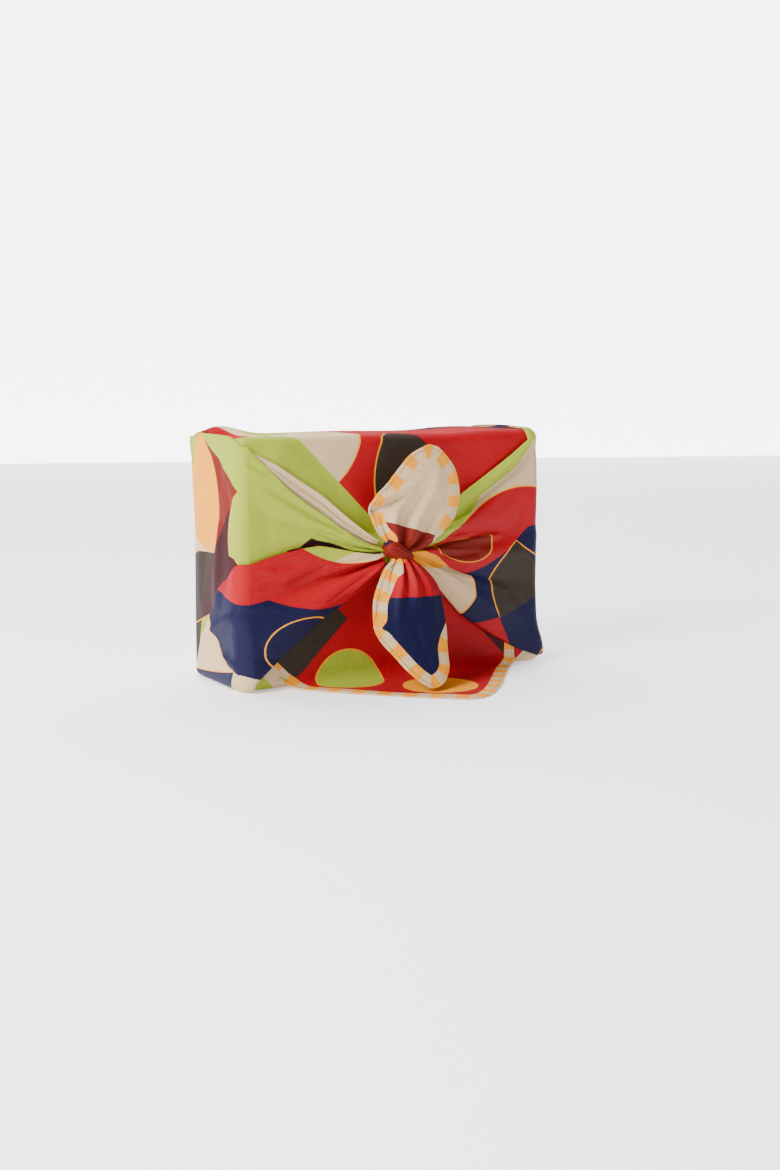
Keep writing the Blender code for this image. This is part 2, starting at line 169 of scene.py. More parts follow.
def steps_of_colour(tree, factor, colours):
    """A ramp that jumps from one printed colour to the next."""
    ramp = add(tree, "ValToRGB", {0: factor})
    ramp.color_ramp.interpolation = "CONSTANT"
    while len(ramp.color_ramp.elements) < len(colours):
        ramp.color_ramp.elements.new(1.0)
    for k, colour in enumerate(colours):
        ramp.color_ramp.elements[k].position = k / len(colours)
        ramp.color_ramp.elements[k].color = colour
    return ramp.outputs["Color"]


def printed_colour(tree, cloth):
    """The printed design at a place on the flat cloth."""
    fine = add(tree, "VectorMath", {0: cloth, 1: (1 / GRID,) * 3}, operation="MULTIPLY")
    coarse = add(tree, "VectorMath", {0: fine.outputs[0], 1: (0.5, 0.5, 0)}, operation="MULTIPLY")
    cell = add(tree, "VectorMath", {0: fine.outputs[0]}, operation="FLOOR")
    big_cell = add(tree, "VectorMath", {0: coarse.outputs[0]}, operation="FLOOR")
    local = add(tree, "VectorMath", {0: fine.outputs[0]}, operation="FRACTION").outputs[0]
    chance = add(tree, "TexWhiteNoise", {"Vector": cell.outputs[0]}, noise_dimensions="2D")
    big_chance = add(tree, "TexWhiteNoise", {"Vector": big_cell.outputs[0]}, noise_dimensions="2D")
    picks = add(tree, "SeparateColor", {0: chance.outputs["Color"]}).outputs
    places = add(tree, "SeparateXYZ", {0: local}).outputs
    turned = []
    for k in (0, 1):
        other = maths(tree, "GREATER_THAN", picks[k], 0.5)
        gap = maths(tree, "SUBTRACT", places[k], other)
        turned.append(maths(tree, "ABSOLUTE", gap))
    half_square = maths(tree, "ADD", turned[0], turned[1])
    corner = add(tree, "CombineXYZ", {0: turned[0], 1: turned[1], 2: 0.0}).outputs[0]
    quarter_round = add(tree, "VectorMath", {0: corner}, operation="LENGTH").outputs["Value"]
    centre = add(tree, "VectorMath", {0: local, 1: (0.5, 0.5, 0)}, operation="SUBTRACT").outputs[0]
    disc = add(tree, "VectorMath", {0: centre}, operation="LENGTH").outputs["Value"]
    disc = maths(tree, "ADD", disc, 0.62)
    shape = half_square
    for other, least in ((quarter_round, 0.42), (disc, 0.80)):
        use = maths(tree, "GREATER_THAN", picks[2], least)
        mixed = add(tree, "Mix", {0: use, 2: shape, 3: other}, data_type="FLOAT")
        shape = mixed.outputs[0]
    inside = maths(tree, "LESS_THAN", shape, 1.0)
    line = maths(tree, "COMPARE", shape, 1.0, 0.009)
    ground = steps_of_colour(tree, big_chance.outputs["Value"], GROUNDS)
    motif = steps_of_colour(tree, chance.outputs["Value"], MOTIFS)
    colour = blend(tree, inside, ground, motif)
    colour = blend(tree, line, colour, OCHRE)
    row = add(tree, "SeparateXYZ", {0: cell.outputs[0]}).outputs[0]
    row_chance = add(tree, "TexWhiteNoise", {"W": row}, noise_dimensions="1D").outputs["Value"]
    band = maths(tree, "LESS_THAN", row_chance, 0.22)
    band_place = maths(tree, "MULTIPLY", row_chance, 4.5)
    band_colour = steps_of_colour(tree, band_place, (LIME, RUST, CREAM, RED, LIME, NAVY))
    return blend(tree, band, colour, band_colour)


def cotton(name, ground=None, second=None, split=0.0):
    """The sateen; printed, or for the tied ends one colour, and a second up to split, which inside the
    fold is painted shade at its bottom.
    """
    material = bpy.data.materials.new(name)
    material.use_nodes = True
    tree = material.node_tree
    shader = tree.nodes["Principled BSDF"]
    cloth = add(tree, "UVMap", uv_map="cloth").outputs["UV"]
    edge = add(tree, "UVMap", uv_map="edge").outputs["UV"]
    edge_along, edge_gap, _ = add(tree, "SeparateXYZ", {0: edge}).outputs
    if ground is None:
        colour = printed_colour(tree, cloth)
    else:
        from_knot = add(tree, "SeparateXYZ", {0: cloth}).outputs[1]
        near = maths(tree, "LESS_THAN", from_knot, split)
        colour = blend(tree, near, ground, second)

    pair = maths(tree, "MULTIPLY", edge_along, 1 / (2 * BLOCK))
    pair = maths(tree, "FRACT", pair)
    pair = maths(tree, "LESS_THAN", pair, 0.5)
    blocks = blend(tree, pair, CREAM, OCHRE)
    border = maths(tree, "LESS_THAN", edge_gap, BLOCK)
    colour = blend(tree, border, colour, blocks)
    seam = maths(tree, "COMPARE", edge_gap, HEM, 0.0004)
    stitch = maths(tree, "MULTIPLY", edge_along, 400.0)
    stitch = maths(tree, "FRACT", stitch)
    stitch = maths(tree, "LESS_THAN", stitch, 0.78)
    thread = maths(tree, "MULTIPLY", seam, stitch)
    colour = blend(tree, thread, colour, THREAD)

    solid = add(tree, "TexCoord").outputs["Object"]
    # A fine speckle scales the colour by 0.86 to 1.14: tone that differs at random from thread to thread,
    # and painted glints of threads catching the light.
    thread_tone_and_glint_noise = add(tree, "TexNoise", {"Vector": solid, "Scale": 900.0, "Detail": 2.0})
    thread_tone_and_glint = add(
        tree, "MapRange", {0: thread_tone_and_glint_noise.outputs[0], 1: 0.3, 2: 0.7, 3: 0.86, 4: 1.14}
    ).outputs[0]
    colour = add(tree, "VectorMath", {0: colour, 3: thread_tone_and_glint}, operation="SCALE").outputs[0]
    tree.links.new(colour, shader.inputs["Base Color"])

    weave = add(tree, "TexNoise", {"Vector": solid, "Scale": 1400.0, "Detail": 1.0}).outputs[0]
    ripples = add(tree, "TexNoise", {"Vector": solid, "Scale": 42.0, "Detail": 3.0}).outputs[0]
    hem = add(tree, "MapRange", {0: edge_gap, 1: HEM, 2: HEM + 0.0006, 3: 1.0, 4: 0.0}).outputs[0]
    low = add(tree, "Bump", {"Height": ripples, "Distance": 0.0022, "Strength": 0.35})
    rim = add(
        tree, "Bump", {"Height": hem, "Distance": 0.0004, "Strength": 0.8, "Normal": low.outputs[0]}
    )
    cloth_bump = add(
        tree, "Bump", {"Height": weave, "Distance": 0.00012, "Strength": 0.5, "Normal": rim.outputs[0]}
    )
    tree.links.new(cloth_bump.outputs[0], shader.inputs["Normal"])
    shader.inputs["Roughness"].default_value = 0.58
    shader.inputs["Specular IOR Level"].default_value = 0.14
    shader.inputs["Sheen Weight"].default_value = 0.012
    shader.inputs["Sheen Roughness"].default_value = 0.45
    return material


print_cotton = cotton("printed cotton sateen")
# Inside the open fold the cloth is red, painted plum below 192 mm as shade at the bottom of the fold.
fold_inside_cotton_painted_shade = cotton("cotton sateen, inside of the fold", RED, PLUM, 0.192)


# The cloth over the parcel: one face of the square lies tight over the box, its edges
# rounded by the cloth, with the open fold at the top of the left end.
# It is printed cotton, stretched by hand and held by the knot.
PARCEL_WIDTH = 0.297
PARCEL_DEPTH = 0.097
PARCEL_HEIGHT = 0.2095
EDGE_ROUND = 0.008
CORNER_ROUND = 0.0088
CLOTH = 0.0009
KNOT_X = -0.010
KNOT_Z = 0.112
KNOT_PROUD = 0.021
FRONT = -PARCEL_DEPTH / 2
BACK = PARCEL_DEPTH / 2
FLAP_TIP_X = 0.008
FLAP_REACH = 0.119
BODY_PRINT = (-0.1598, -0.0042)
NEAR, MID = 0.16, 0.52

Swell = namedtuple("Swell", "name x y z sx sy sz dx dy dz")
SWELLS = (
    Swell("rim of the pocket, back", -0.124, 0.046, 0.212, 0.022, 0.030, 0.03, 0, 0.5, 7.6),
    Swell("rim of the pocket, left end", -0.149, 0.012, 0.212, 0.012, 0.034, 0.05, -4.6, 0, 0.6),
    Swell("left end, waist", -0.149, 0.020, 0.120, 0.012, 0.050, 0.05, 1.2, 0, 0),
    Swell("left end, pinch", -0.149, -0.030, 0.076, 0.012, 0.034, 0.034, -2.4, 0, 0),
    Swell("lower left corner", -0.136, -0.049, 0.008, 0.026, 0.018, 0.02, 0.5, -3.6, 0),
    Swell("right foot", 0.149, -0.049, 0.011, 0.018, 0.026, 0.020, 6.4, -3.6, 0),
    Swell("top right, rise", 0.106, 0.010, 0.212, 0.036, 0.070, 0.02, 0, 0, 5.0),
    Swell("top right, corner", 0.144, -0.010, 0.208, 0.016, 0.080, 0.024, -1.8, 0, 3.6),
    Swell("top left, hump of the fold", -0.112, -0.050, 0.190, 0.014, 0.010, 0.018, 0, -2.6, 1.0),
    Swell("top edge, middle", -0.010, 0.010, 0.212, 0.070, 0.060, 0.02, 0, 0, 2.0),
    Swell("right end, belly", 0.149, 0.0, 0.110, 0.012, 0.035, 0.06, 1.6, 0, 0),
    Swell("back, upper left fold", -0.100, 0.049, 0.165, 0.050, 0.012, 0.010, 0, 1.5, 0),
    Swell("back, upper right fold", 0.096, 0.049, 0.172, 0.056, 0.012, 0.011, 0, 1.3, 0),
    Swell("back, waist fold", 0.020, 0.049, 0.085, 0.080, 0.012, 0.012, 0, 1.2, 0),
    Swell("back, low hollow", -0.040, 0.049, 0.045, 0.070, 0.012, 0.014, 0, -0.8, 0),
)


def ease(value):
    """0 below 0, 1 above 1, and smooth between."""
    value = np.clip(value, 0, 1)
    return value * value * (3 - 2 * value)


def swell(points):
    """Moves each point by the soft bells in SWELLS."""
    moved = points.copy()
    for s in SWELLS:
        away = (points - (s.x, s.y, s.z)) / (s.sx, s.sy, s.sz)
        bell = np.exp(-(away**2).sum(-1))[..., None]
        moved += bell * np.array([s.dx, s.dy, s.dz]) / 1000
    moved[..., 2] = np.where(points[..., 2] < 0.001, points[..., 2], moved[..., 2])
    return moved


def outline_point(angle):
    """Where a line from the knot meets the rounded outline of the front, and its normal."""
    half, high, r = PARCEL_WIDTH / 2, PARCEL_HEIGHT, CORNER_ROUND
    dx, dz = math.cos(angle), math.sin(angle)
    reach_x = ((half if dx > 0 else -half) - KNOT_X) / dx if abs(dx) > 1e-9 else 9.0
    reach_z = ((high if dz > 0 else 0.0) - KNOT_Z) / dz if abs(dz) > 1e-9 else 9.0
    reach = min(reach_x, reach_z)
    x, z = KNOT_X + dx * reach, KNOT_Z + dz * reach
    normal = (math.copysign(1, dx), 0.0) if reach_x < reach_z else (0.0, math.copysign(1, dz))
    corner_x = math.copysign(half - r, x)
    corner_z = high - r if z > high / 2 else r
    beyond_x = (x - corner_x) * math.copysign(1, x) > 0
    beyond_z = (z > corner_z) if z > high / 2 else (z < corner_z)
    if beyond_x and beyond_z:
        bx, bz = KNOT_X - corner_x, KNOT_Z - corner_z
        b = bx * dx + bz * dz
        reach = -b + math.sqrt(max(b * b - (bx * bx + bz * bz - r * r), 0.0))
        x, z = KNOT_X + dx * reach, KNOT_Z + dz * reach
        normal = ((x - corner_x) / r, (z - corner_z) / r)
    return x, z, normal[0], normal[1]


def along_line(three, s):
    """A value given beside the knot, half way and at the edge, at the share s."""
    near, mid, far = (three[:, k, None] for k in range(3))
    u = np.clip((s - NEAR) / (MID - NEAR), 0, 1)
    v = np.clip((s - MID) / (1 - MID), 0, 1)
    inner = mid + (near - mid) * (1 - u) ** 1.5
    return np.where(s <= NEAR, near, np.where(s <= MID, inner, mid + (far - mid) * v))


def skin(angles, heights, lift, start, end_y, past_back, rings):
    """Points from the knot out over the front, round its edge and along the end.

    angles and heights have three values for each line: beside the knot, half way and at
    the edge. end_y is where each line ends on the end, or None for the back edge, and
    past_back how far it goes on over the back. Lines are the first index of what comes
    back, rings the second."""
    r = EDGE_ROUND
    out = np.array([outline_point(a) for a in angles[:, 2]])
    x, z, nx, nz = (out[:, k, None] for k in range(4))
    s = np.linspace(start, 1, rings[0])[None]
    edge_x, edge_z = x - nx * r, z - nz * r
    reach = np.hypot(edge_x - KNOT_X, edge_z - KNOT_Z)
    turn = np.arctan2(edge_z - KNOT_Z, edge_x - KNOT_X) + along_line(angles, s) - angles[:, 2:3]
    h = along_line(heights, s)
    near_top = np.clip(s / NEAR, 0, 1)
    h = h * near_top + (KNOT_PROUD - 0.004) * (1 - near_top) + lift
    front = np.stack(
        [KNOT_X + reach * s * np.cos(turn), FRONT - h, KNOT_Z + reach * s * np.sin(turn)], -1
    )
    phi = np.linspace(0, math.pi / 2, rings[1] + 1)[None, 1:]
    inset = r * (1 - np.sin(phi)) - lift * np.sin(phi)
    far = heights[:, 2:3] * (1 - 0.75 * phi / (math.pi / 2)) + lift * np.cos(phi)
    y = FRONT - far + r * (1 - np.cos(phi))
    edge = np.stack([x - nx * inset, y + 0 * x, z - nz * inset], -1)
    last = BACK - r if end_y is None else end_y[:, None]
    t = np.linspace(0, 1, rings[2] + 1)[None, 1:]
    start_y = y[:, -1:]
    y = start_y + (last - start_y) * t
    side = np.stack([x + nx * lift + 0 * y, y, z + nz * lift + 0 * y], -1)
    parts = [front, edge, side]
    if past_back is not None:
        phi = np.linspace(math.pi / 2, 0, 8)[None, 1:]
        inset = r * (1 - np.sin(phi)) - lift * np.sin(phi)
        y = BACK - r * (1 - np.cos(phi)) + lift * np.cos(phi)
        parts.append(np.stack([x - nx * inset, y + 0 * x, z - nz * inset], -1))
        if past_back > 0:
            t = np.linspace(0, 1, 13)[None, 1:]
            y = BACK + lift - (lift + 0.0016) * t + 0 * x
            t = t * past_back
            parts.append(np.stack([x - nx * (r + t), y, z - nz * (r + t)], -1))
    return np.concatenate(parts, 1)


def grid_faces(lines, rings, closed):
    """Quads of a grid whose first index is lines; closed joins the last line to the first."""
    a = np.arange(lines if closed else lines - 1)[:, None]
    b = np.arange(rings - 1)[None]
    here, after = a * rings + b, (a + 1) % lines * rings + b
    return np.stack([here, here + 1, after + 1, after], -1).reshape(-1, 4)


def make_piece(name, points, faces, maps, away_from=(0, 0, 0.1)):
    """A mesh object at the origin whose faces point away from away_from.

    maps gives each UV map's name and its value at each point."""
    points = points.reshape(-1, 3)
    faces = [list(f) for f in faces]
    sample = np.array([f[:3] for f in faces])
    a, b, c = (points[sample[:, k]] for k in range(3))
    outward = np.einsum("ij,ij->i", np.cross(b - a, c - a), (a + b + c) / 3 - away_from).sum()
    if outward < 0:
        faces = [f[::-1] for f in faces]
    mesh = bpy.data.meshes.new(name)
    mesh.from_pydata(points.tolist(), [], faces)
    corners = np.zeros(len(mesh.loops), np.int32)
    mesh.loops.foreach_get("vertex_index", corners)
    maps = {"edge": np.tile([0.0, 1.0], (len(points), 1)), **maps}
    for label, values in maps.items():
        layer = mesh.uv_layers.new(name=label)
        layer.data.foreach_set("uv", values.reshape(-1, 2)[corners].astype(np.float32).ravel())
    mesh.shade_smooth()
    piece = bpy.data.objects.new(name, mesh)
    bpy.context.scene.collection.objects.link(piece)
    return piece


def finish_modifiers(piece):
    """Applies the modifiers on a piece, so that its mesh is what is shown."""
    bpy.ops.object.select_all(action="DESELECT")
    bpy.context.view_layer.objects.active = piece
    piece.select_set(True)
    for step in list(piece.modifiers):
        bpy.ops.object.modifier_apply(modifier=step.name)


def thicken(piece, thickness=CLOTH, offset=-1):
    """Gives a sheet the cloth's thickness, on its inner side."""
    step = piece.modifiers.new("thickness", "SOLIDIFY")
    step.thickness = thickness
    step.offset = offset
    step.use_even_offset = False
    finish_modifiers(piece)
    piece.data.shade_smooth()


def corner_places(x, from_tip):
    """Where a point of the front corner's run lies on the cloth, from its two edges."""
    across = x - FLAP_TIP_X
    return (from_tip + across) / math.sqrt(2), (from_tip - across) / math.sqrt(2)


def place_on_cloth(points):
    """The cloth's own two coordinates over the front, top and back of the parcel."""
    x, y, z = points[..., 0], points[..., 1], points[..., 2]
    front = (y - FRONT < 0.004) | ((z < PARCEL_HEIGHT / 2) & (y < 0))
    back = (BACK - y < 0.004) | ((z < PARCEL_HEIGHT / 2) & (y >= 0))
    over_top = FLAP_REACH + PARCEL_HEIGHT + (y - FRONT)
    down_back = FLAP_REACH + 2 * PARCEL_HEIGHT + PARCEL_DEPTH - z
    run = np.where(front, FLAP_REACH + z, np.where(back, down_back, over_top))
    return np.stack(corner_places(x, run), -1) + BODY_PRINT


Stroke = namedtuple("Stroke", "name x1 z1 x2 z2 width height")


def normals(grid, away_from=(0, 0, 0.1)):
    """The outward normal at each point of a grid."""
    n = np.cross(np.gradient(grid, axis=0), np.gradient(grid, axis=1))
    n /= np.maximum(np.linalg.norm(n, axis=2, keepdims=True), 1e-12)
    facing = ((grid - np.array(away_from)) * n).sum(-1).sum()
    return n if facing > 0 else -n


def unrolled(grid):
    """The front and the ends laid out flat, in millimetres: across and up."""
    x, y, z = grid[..., 0], grid[..., 1], grid[..., 2]
    round_end = np.where(np.abs(x) > 0.1, np.maximum(y - FRONT, 0), 0)
    return np.stack([x + np.sign(x) * round_end, z], -1) * 1000


def crease(grid, strokes, depth=1.0, away_from=(0, 0, 0.1), shallow_from=None, floor=-0.01):
    """Pushes soft ridges and troughs into a sheet along the strokes.

    From the ring shallow_from on the troughs are half as deep and never below floor."""
    flat = unrolled(grid)
    push = np.zeros(grid.shape[:2])
    for s in strokes:
        a, b = np.array([s.x1, s.z1]), np.array([s.x2, s.z2])
        run = b - a
        t = np.clip(((flat - a) @ run) / (run @ run), 0, 1)
        gap = np.linalg.norm(flat - a - t[..., None] * run, axis=-1)
        swollen = s.width * (0.55 + 0.45 * np.sin(np.pi * np.clip(t, 0.1, 0.9)))
        fade = np.sin(np.pi * t) ** 0.5 * 0.85 + 0.15
        push += depth * s.height / 1000 * fade * np.exp(-((gap / swollen) ** 2))
    if shallow_from is not None:
        end = push[:, shallow_from:]
        push[:, shallow_from:] = np.maximum(np.maximum(end, 0.5 * end), floor)
    return grid + normals(grid, away_from) * push[..., None]


def pleats(rays):
    """Fine pleats beside the knot: angle, where each starts and ends, width and height."""
    made = []
    for angle, near, far, width, height in rays:
        c, s = math.cos(math.radians(angle)), math.sin(math.radians(angle))
        x, z = KNOT_X * 1000, KNOT_Z * 1000
        ends = (x + c * near, z + s * near, x + c * far, z + s * far)
        made.append(Stroke("pleat", *ends, width, height))
    return tuple(made)


def dress(piece, material):
    """Gives a piece of the cloth its finish, hangs it under the root body and hides the model's
    furoshiki_wrap part.
    """
    if material is not None:
        piece.data.materials.append(material)
    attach(piece, "root")
    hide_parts("furoshiki_wrap")


BODY_CREASES = (
    Stroke("top left, fold towards the knot", -112, 205, -60, 150, 9, 0.9),
    Stroke("top left, trough beside it", -92, 207, -44, 150, 8, -0.8),
    Stroke("top right, long trough", 66, 205, 30, 140, 12, -0.7),
    Stroke("top right, lime fold", 120, 200, 50, 132, 8, 1.3),
    Stroke("top right, valley by the wing", 132, 196, 60, 140, 5, -1.4),
    Stroke("right, soft fold", 100, 208, 84, 168, 9, 0.6),
)
BODY_LINES = 300
BACK_RINGS = 29
BACK_BELLY = 0.0030
body_turns = np.radians(np.linspace(0, 360, BODY_LINES, endpoint=False))
body_angles = np.stack([body_turns] * 3, 1)
body_heights = np.full((BODY_LINES, 3), 0.0014)
body_grid = swell(skin(body_angles, body_heights, 0.0, 0.02, None, 0.0, (44, 8, 26)))
body_grid = crease(body_grid, BODY_CREASES)
back_edge = body_grid[:, -1:]
middle = np.array([0.0, BACK, PARCEL_HEIGHT / 2])
inward = np.linspace(0, 0.985, BACK_RINGS + 1)[None, 1:, None]
back_rows = back_edge + (middle - back_edge) * inward
belly = (1 - (back_rows[..., 0] / 0.149) ** 2) * (1 - (back_rows[..., 2] / 0.105 - 1) ** 2)
settle = ease(inward[..., 0] / 0.25)
back_rows[..., 1] = back_rows[..., 1] * (1 - settle) + (BACK + BACK_BELLY * belly) * settle
body_grid = np.concatenate([body_grid, back_rows], 1)
body_grid[:, -BACK_RINGS:] = swell(body_grid[:, -BACK_RINGS:])
body_rings = body_grid.shape[1]
body_faces = grid_faces(BODY_LINES, body_rings, True).tolist()
hubs = [[KNOT_X, FRONT - KNOT_PROUD + 0.004, KNOT_Z], [0.0, BACK + BACK_BELLY, PARCEL_HEIGHT / 2]]
body_places = np.concatenate([body_grid.reshape(-1, 3), hubs])
hub = BODY_LINES * body_rings
for k in range(BODY_LINES):
    here, after = k * body_rings, (k + 1) % BODY_LINES * body_rings
    body_faces.append([hub, here, after])
    body_faces.append([hub + 1, after + body_rings - 1, here + body_rings - 1])
parcel_cloth = make_piece(
    "parcel_cloth", body_places, body_faces, {"cloth": place_on_cloth(body_places)}
)

POCKET_LEFT = -0.1500
POCKET_RIGHT = -0.1270
POCKET_FRONT = -0.0385
POCKET_BACK = 0.0455
POCKET_FLOOR = 0.186
POCKET_LINES = 64
pocket_middle = (POCKET_LEFT + POCKET_RIGHT) / 2
pocket_rows = (
    (POCKET_FLOOR, pocket_middle - 0.006, pocket_middle - 0.001, 0.55),
    (POCKET_FLOOR + 0.009, POCKET_LEFT + 0.004, pocket_middle + 0.005, 0.85),
    (PARCEL_HEIGHT + 0.002, POCKET_LEFT - 0.0024, POCKET_RIGHT, 1.0),
    (PARCEL_HEIGHT + 0.03, POCKET_LEFT - 0.0024, POCKET_RIGHT, 1.0),
)
pocket_turns = np.linspace(0, 2 * math.pi, POCKET_LINES, endpoint=False)
round_x = np.sign(np.cos(pocket_turns)) * np.abs(np.cos(pocket_turns)) ** 0.6
round_y = np.sign(np.sin(pocket_turns)) * np.abs(np.sin(pocket_turns)) ** 0.45
half_y = (POCKET_BACK - POCKET_FRONT) / 2
pocket_points = np.array(
    [
        ((left + right) / 2 + (right - left) / 2 * rx, POCKET_BACK - half_y + half_y * share * ry, z)
        for z, left, right, share in pocket_rows
        for rx, ry in zip(round_x, round_y)
    ]
)
pocket_faces = grid_faces(len(pocket_rows), POCKET_LINES, False).tolist()
for row in range(len(pocket_rows) - 1):
    first, after = row * POCKET_LINES, (row + 1) * POCKET_LINES
    pocket_faces.append([after - 1, first, after, after + POCKET_LINES - 1])
pocket_faces += [list(range(POCKET_LINES))[::-1], list(range(after, after + POCKET_LINES))]
parcel_cloth.data.materials.append(print_cotton)
pocket = make_piece(
    "pocket", pocket_points, pocket_faces, {"cloth": pocket_points[:, 1:]}, (-0.138, 0, 0.2)
)
# The inside of the fold: red, with painted shade (plum) at its bottom.
pocket.data.materials.append(fold_inside_cotton_painted_shade)
cut = parcel_cloth.modifiers.new("pocket", "BOOLEAN")
cut.operation = "DIFFERENCE"
cut.solver = "EXACT"
cut.object = pocket
cut.material_mode = "TRANSFER"
finish_modifiers(parcel_cloth)
bpy.data.objects.remove(pocket, do_unlink=True)
thicken(parcel_cloth)
dress(parcel_cloth, None)


# The wings: the two side corners of the cloth, drawn round the ends of the parcel and
# gathered to the knot in soft folds. Each row is one fold line from the knot to the edge
# of the front; angles in degrees from +X, heights in millimetres above the face, hidden
# the millimetres of cloth that are tucked away in that fold.
Line = namedtuple("Line", "name a_near a_mid a_far h_near h_mid h_far strips hidden")
FOLD_DEPTH = 1.4
LEAST_STAND = 0.0024
TURNED_UNDER = 0.0035
TURNED_IN = 0.0014
ROLL_LINES = 10


def fold_lines(rows):
    """The angles and heights of every mesh line: round at the ridges, sharp in the troughs."""
    angles, heights = [], []
    for here, after in zip(rows[:-1], rows[1:]):
        for step in range(here.strips):
            share = step / here.strips
            even = (1 - math.cos(math.pi * share)) / 2
            falls = here.h_mid > after.h_mid
            bent = 1 - math.cos(math.pi / 2 * share) if falls else math.sin(math.pi / 2 * share)
            soft = 0.45 * even + 0.55 * bent
            a, b = np.array(here[1:7]), np.array(after[1:7])
            angles.append(a[:3] + (b[:3] - a[:3]) * share)
            heights.append(a[3:] + (b[3:] - a[3:]) * soft)
    angles.append(np.array(rows[-1][1:4]))
    heights.append(np.array(rows[-1][4:7]))
    return np.radians(np.array(angles)), np.array(heights) / 1000


def roll_edge(grid, side, radius):
    """Turns one edge of a sheet under itself, as a folded cloth does.

    side is 0 or 1 for the first or last line, 2 for the last ring."""
    work = grid if side < 2 else grid.transpose(1, 0, 2)
    work = work[::-1] if side == 0 else work
    out = work[-1] - work[-3]
    out /= np.maximum(np.linalg.norm(out, axis=1, keepdims=True), 1e-9)
    n = normals(grid)
    n = n if side < 2 else n.transpose(1, 0, 2)
    n = n[0] if side == 0 else n[-1]
    for values in (out, n):
        padded = np.pad(values, ((6, 6), (0, 0)), "edge")
        calm = [np.convolve(padded[:, k], np.ones(13) / 13, "valid") for k in range(3)]
        values[:] = np.stack(calm, 1)
        values /= np.linalg.norm(values, axis=1, keepdims=True)
    radius = np.broadcast_to(np.asarray(radius, float).reshape(-1, 1), (len(out), 1))
    rows = []
    for phi in np.radians([20, 42, 64, 88, 112, 138, 164]):
        rows.append(work[-1] + out * radius * math.sin(phi) - n * radius * (1 - math.cos(phi)))
    last = rows[-1]
    for share in (0.35, 0.7, 1.0):
        rows.append(last - out * TURNED_UNDER * share - n * TURNED_IN * share)
    work = np.concatenate([work, np.stack(rows)])
    work = work[::-1] if side == 0 else work
    return work if side < 2 else work.transpose(1, 0, 2)


def wing_map(grid, skips, turn, shift):
    """The print's place on a wing: it runs together towards the knot, and the cloth that is
    hidden in the folds is left out. skips is the hidden cloth up to each line, in metres."""
    level = grid.copy()
    level[..., 0] = np.clip(level[..., 0], -PARCEL_WIDTH / 2, PARCEL_WIDTH / 2)
    flat = unrolled(level) / 1000 - (KNOT_X, KNOT_Z)
    along = np.hypot(flat[..., 0], flat[..., 1])
    angle = np.arctan2(flat[..., 1], np.abs(flat[..., 0]))
    wide = (along**4 + 0.145**4) ** 0.25
    side = np.sign(flat[..., 0].mean())
    across = angle * wide + side * np.broadcast_to(skips, grid.shape[:2][::-1]).T
    c, s = math.cos(turn), math.sin(turn)
    return np.stack([along * c - across * s + shift[0], along * s + across * c + shift[1]], -1)


def make_wing(name, rows, strokes, lift, rings, reach, start, rolled, turn, shift, adjust):
    """One wing from its fold lines: skinned, creased, its edges rolled under, thickened.

    reach is past the back edge or the depth at which each line ends, rolled the radii of
    the first line, the last line and the last ring, or None. adjust has the last word on
    the grid's points before that."""
    angles, heights = fold_lines(rows)
    grid = swell(skin(angles, heights, lift, start, *reach(angles, heights), rings))
    plain = grid.copy()
    from_edge = np.minimum(np.arange(len(grid)), np.arange(len(grid))[::-1])
    calm_edge = ease(from_edge / 12)[:, None, None]
    creased = crease(grid, strokes, FOLD_DEPTH, shallow_from=rings[0] - 6, floor=-0.8 * lift)
    grid = plain + (creased - plain) * calm_edge
    front = grid[:, : rings[0]]
    front[..., 1] = np.minimum(front[..., 1], FRONT - LEAST_STAND - lift)
    grid = adjust(grid)
    tucked = [[row.hidden / 1000] + [0] * (row.strips - 1) for row in rows]
    hidden = np.cumsum([amount for row in tucked for amount in row])
    for side, radius in enumerate(rolled):
        if radius is not None:
            span = np.linspace(0, 1, grid.shape[1] if side < 2 else grid.shape[0])[:, None]
            thin = np.minimum(1, 0.35 + 4 * span) * np.minimum(1, 0.3 + 6 * (1 - span))
            grid = roll_edge(grid, side, radius * thin)
            plain = roll_edge(plain, side, radius * thin)
            if side < 2:
                hidden = np.pad(hidden, (ROLL_LINES, 0) if side == 0 else (0, ROLL_LINES), "edge")
    grid[..., 2] = np.maximum(grid[..., 2], 0.0006 + CLOTH)
    maps = {"cloth": wing_map(plain, hidden, turn, shift)}
    piece = make_piece(name, grid, grid_faces(*grid.shape[:2], False), maps)
    thicken(piece)
    return piece


def as_it_is(grid):
    return grid


def stand_up_at_the_pocket(grid):
    """The rim of the open fold climbs to the top of the left end and stands up along it."""
    y, z = grid[..., 1], grid[..., 2]
    high = np.clip((z - 0.150) / 0.0515, 0, 1) ** 1.5 * (grid[..., 0] < -0.13)
    climb = 1 - np.exp(-np.maximum(y - FRONT + 0.002, 0) / 0.007)
    up = ease((y - FRONT - 0.004) / 0.020) * ease((z - 0.186) / 0.014) * (grid[..., 0] < -0.13)
    up = up * ease((BACK - y) / 0.008)
    high = high * (1 - 0.55 * ease((y - 0.010) / 0.030))
    bow = 0.5 + 0.5 * np.cos(np.pi * np.clip((y - 0.008) / 0.055, -1, 1))
    grid[..., 0] += (-0.1512 - 0.0034 * bow - grid[..., 0]) * up
    grid[..., 2] += 0.0080 * climb * high
    return grid


def wrap_round(sink):
    """The wing's lines go round the end and sink under the cloth of the back."""
    return lambda angles, heights: (None, sink)


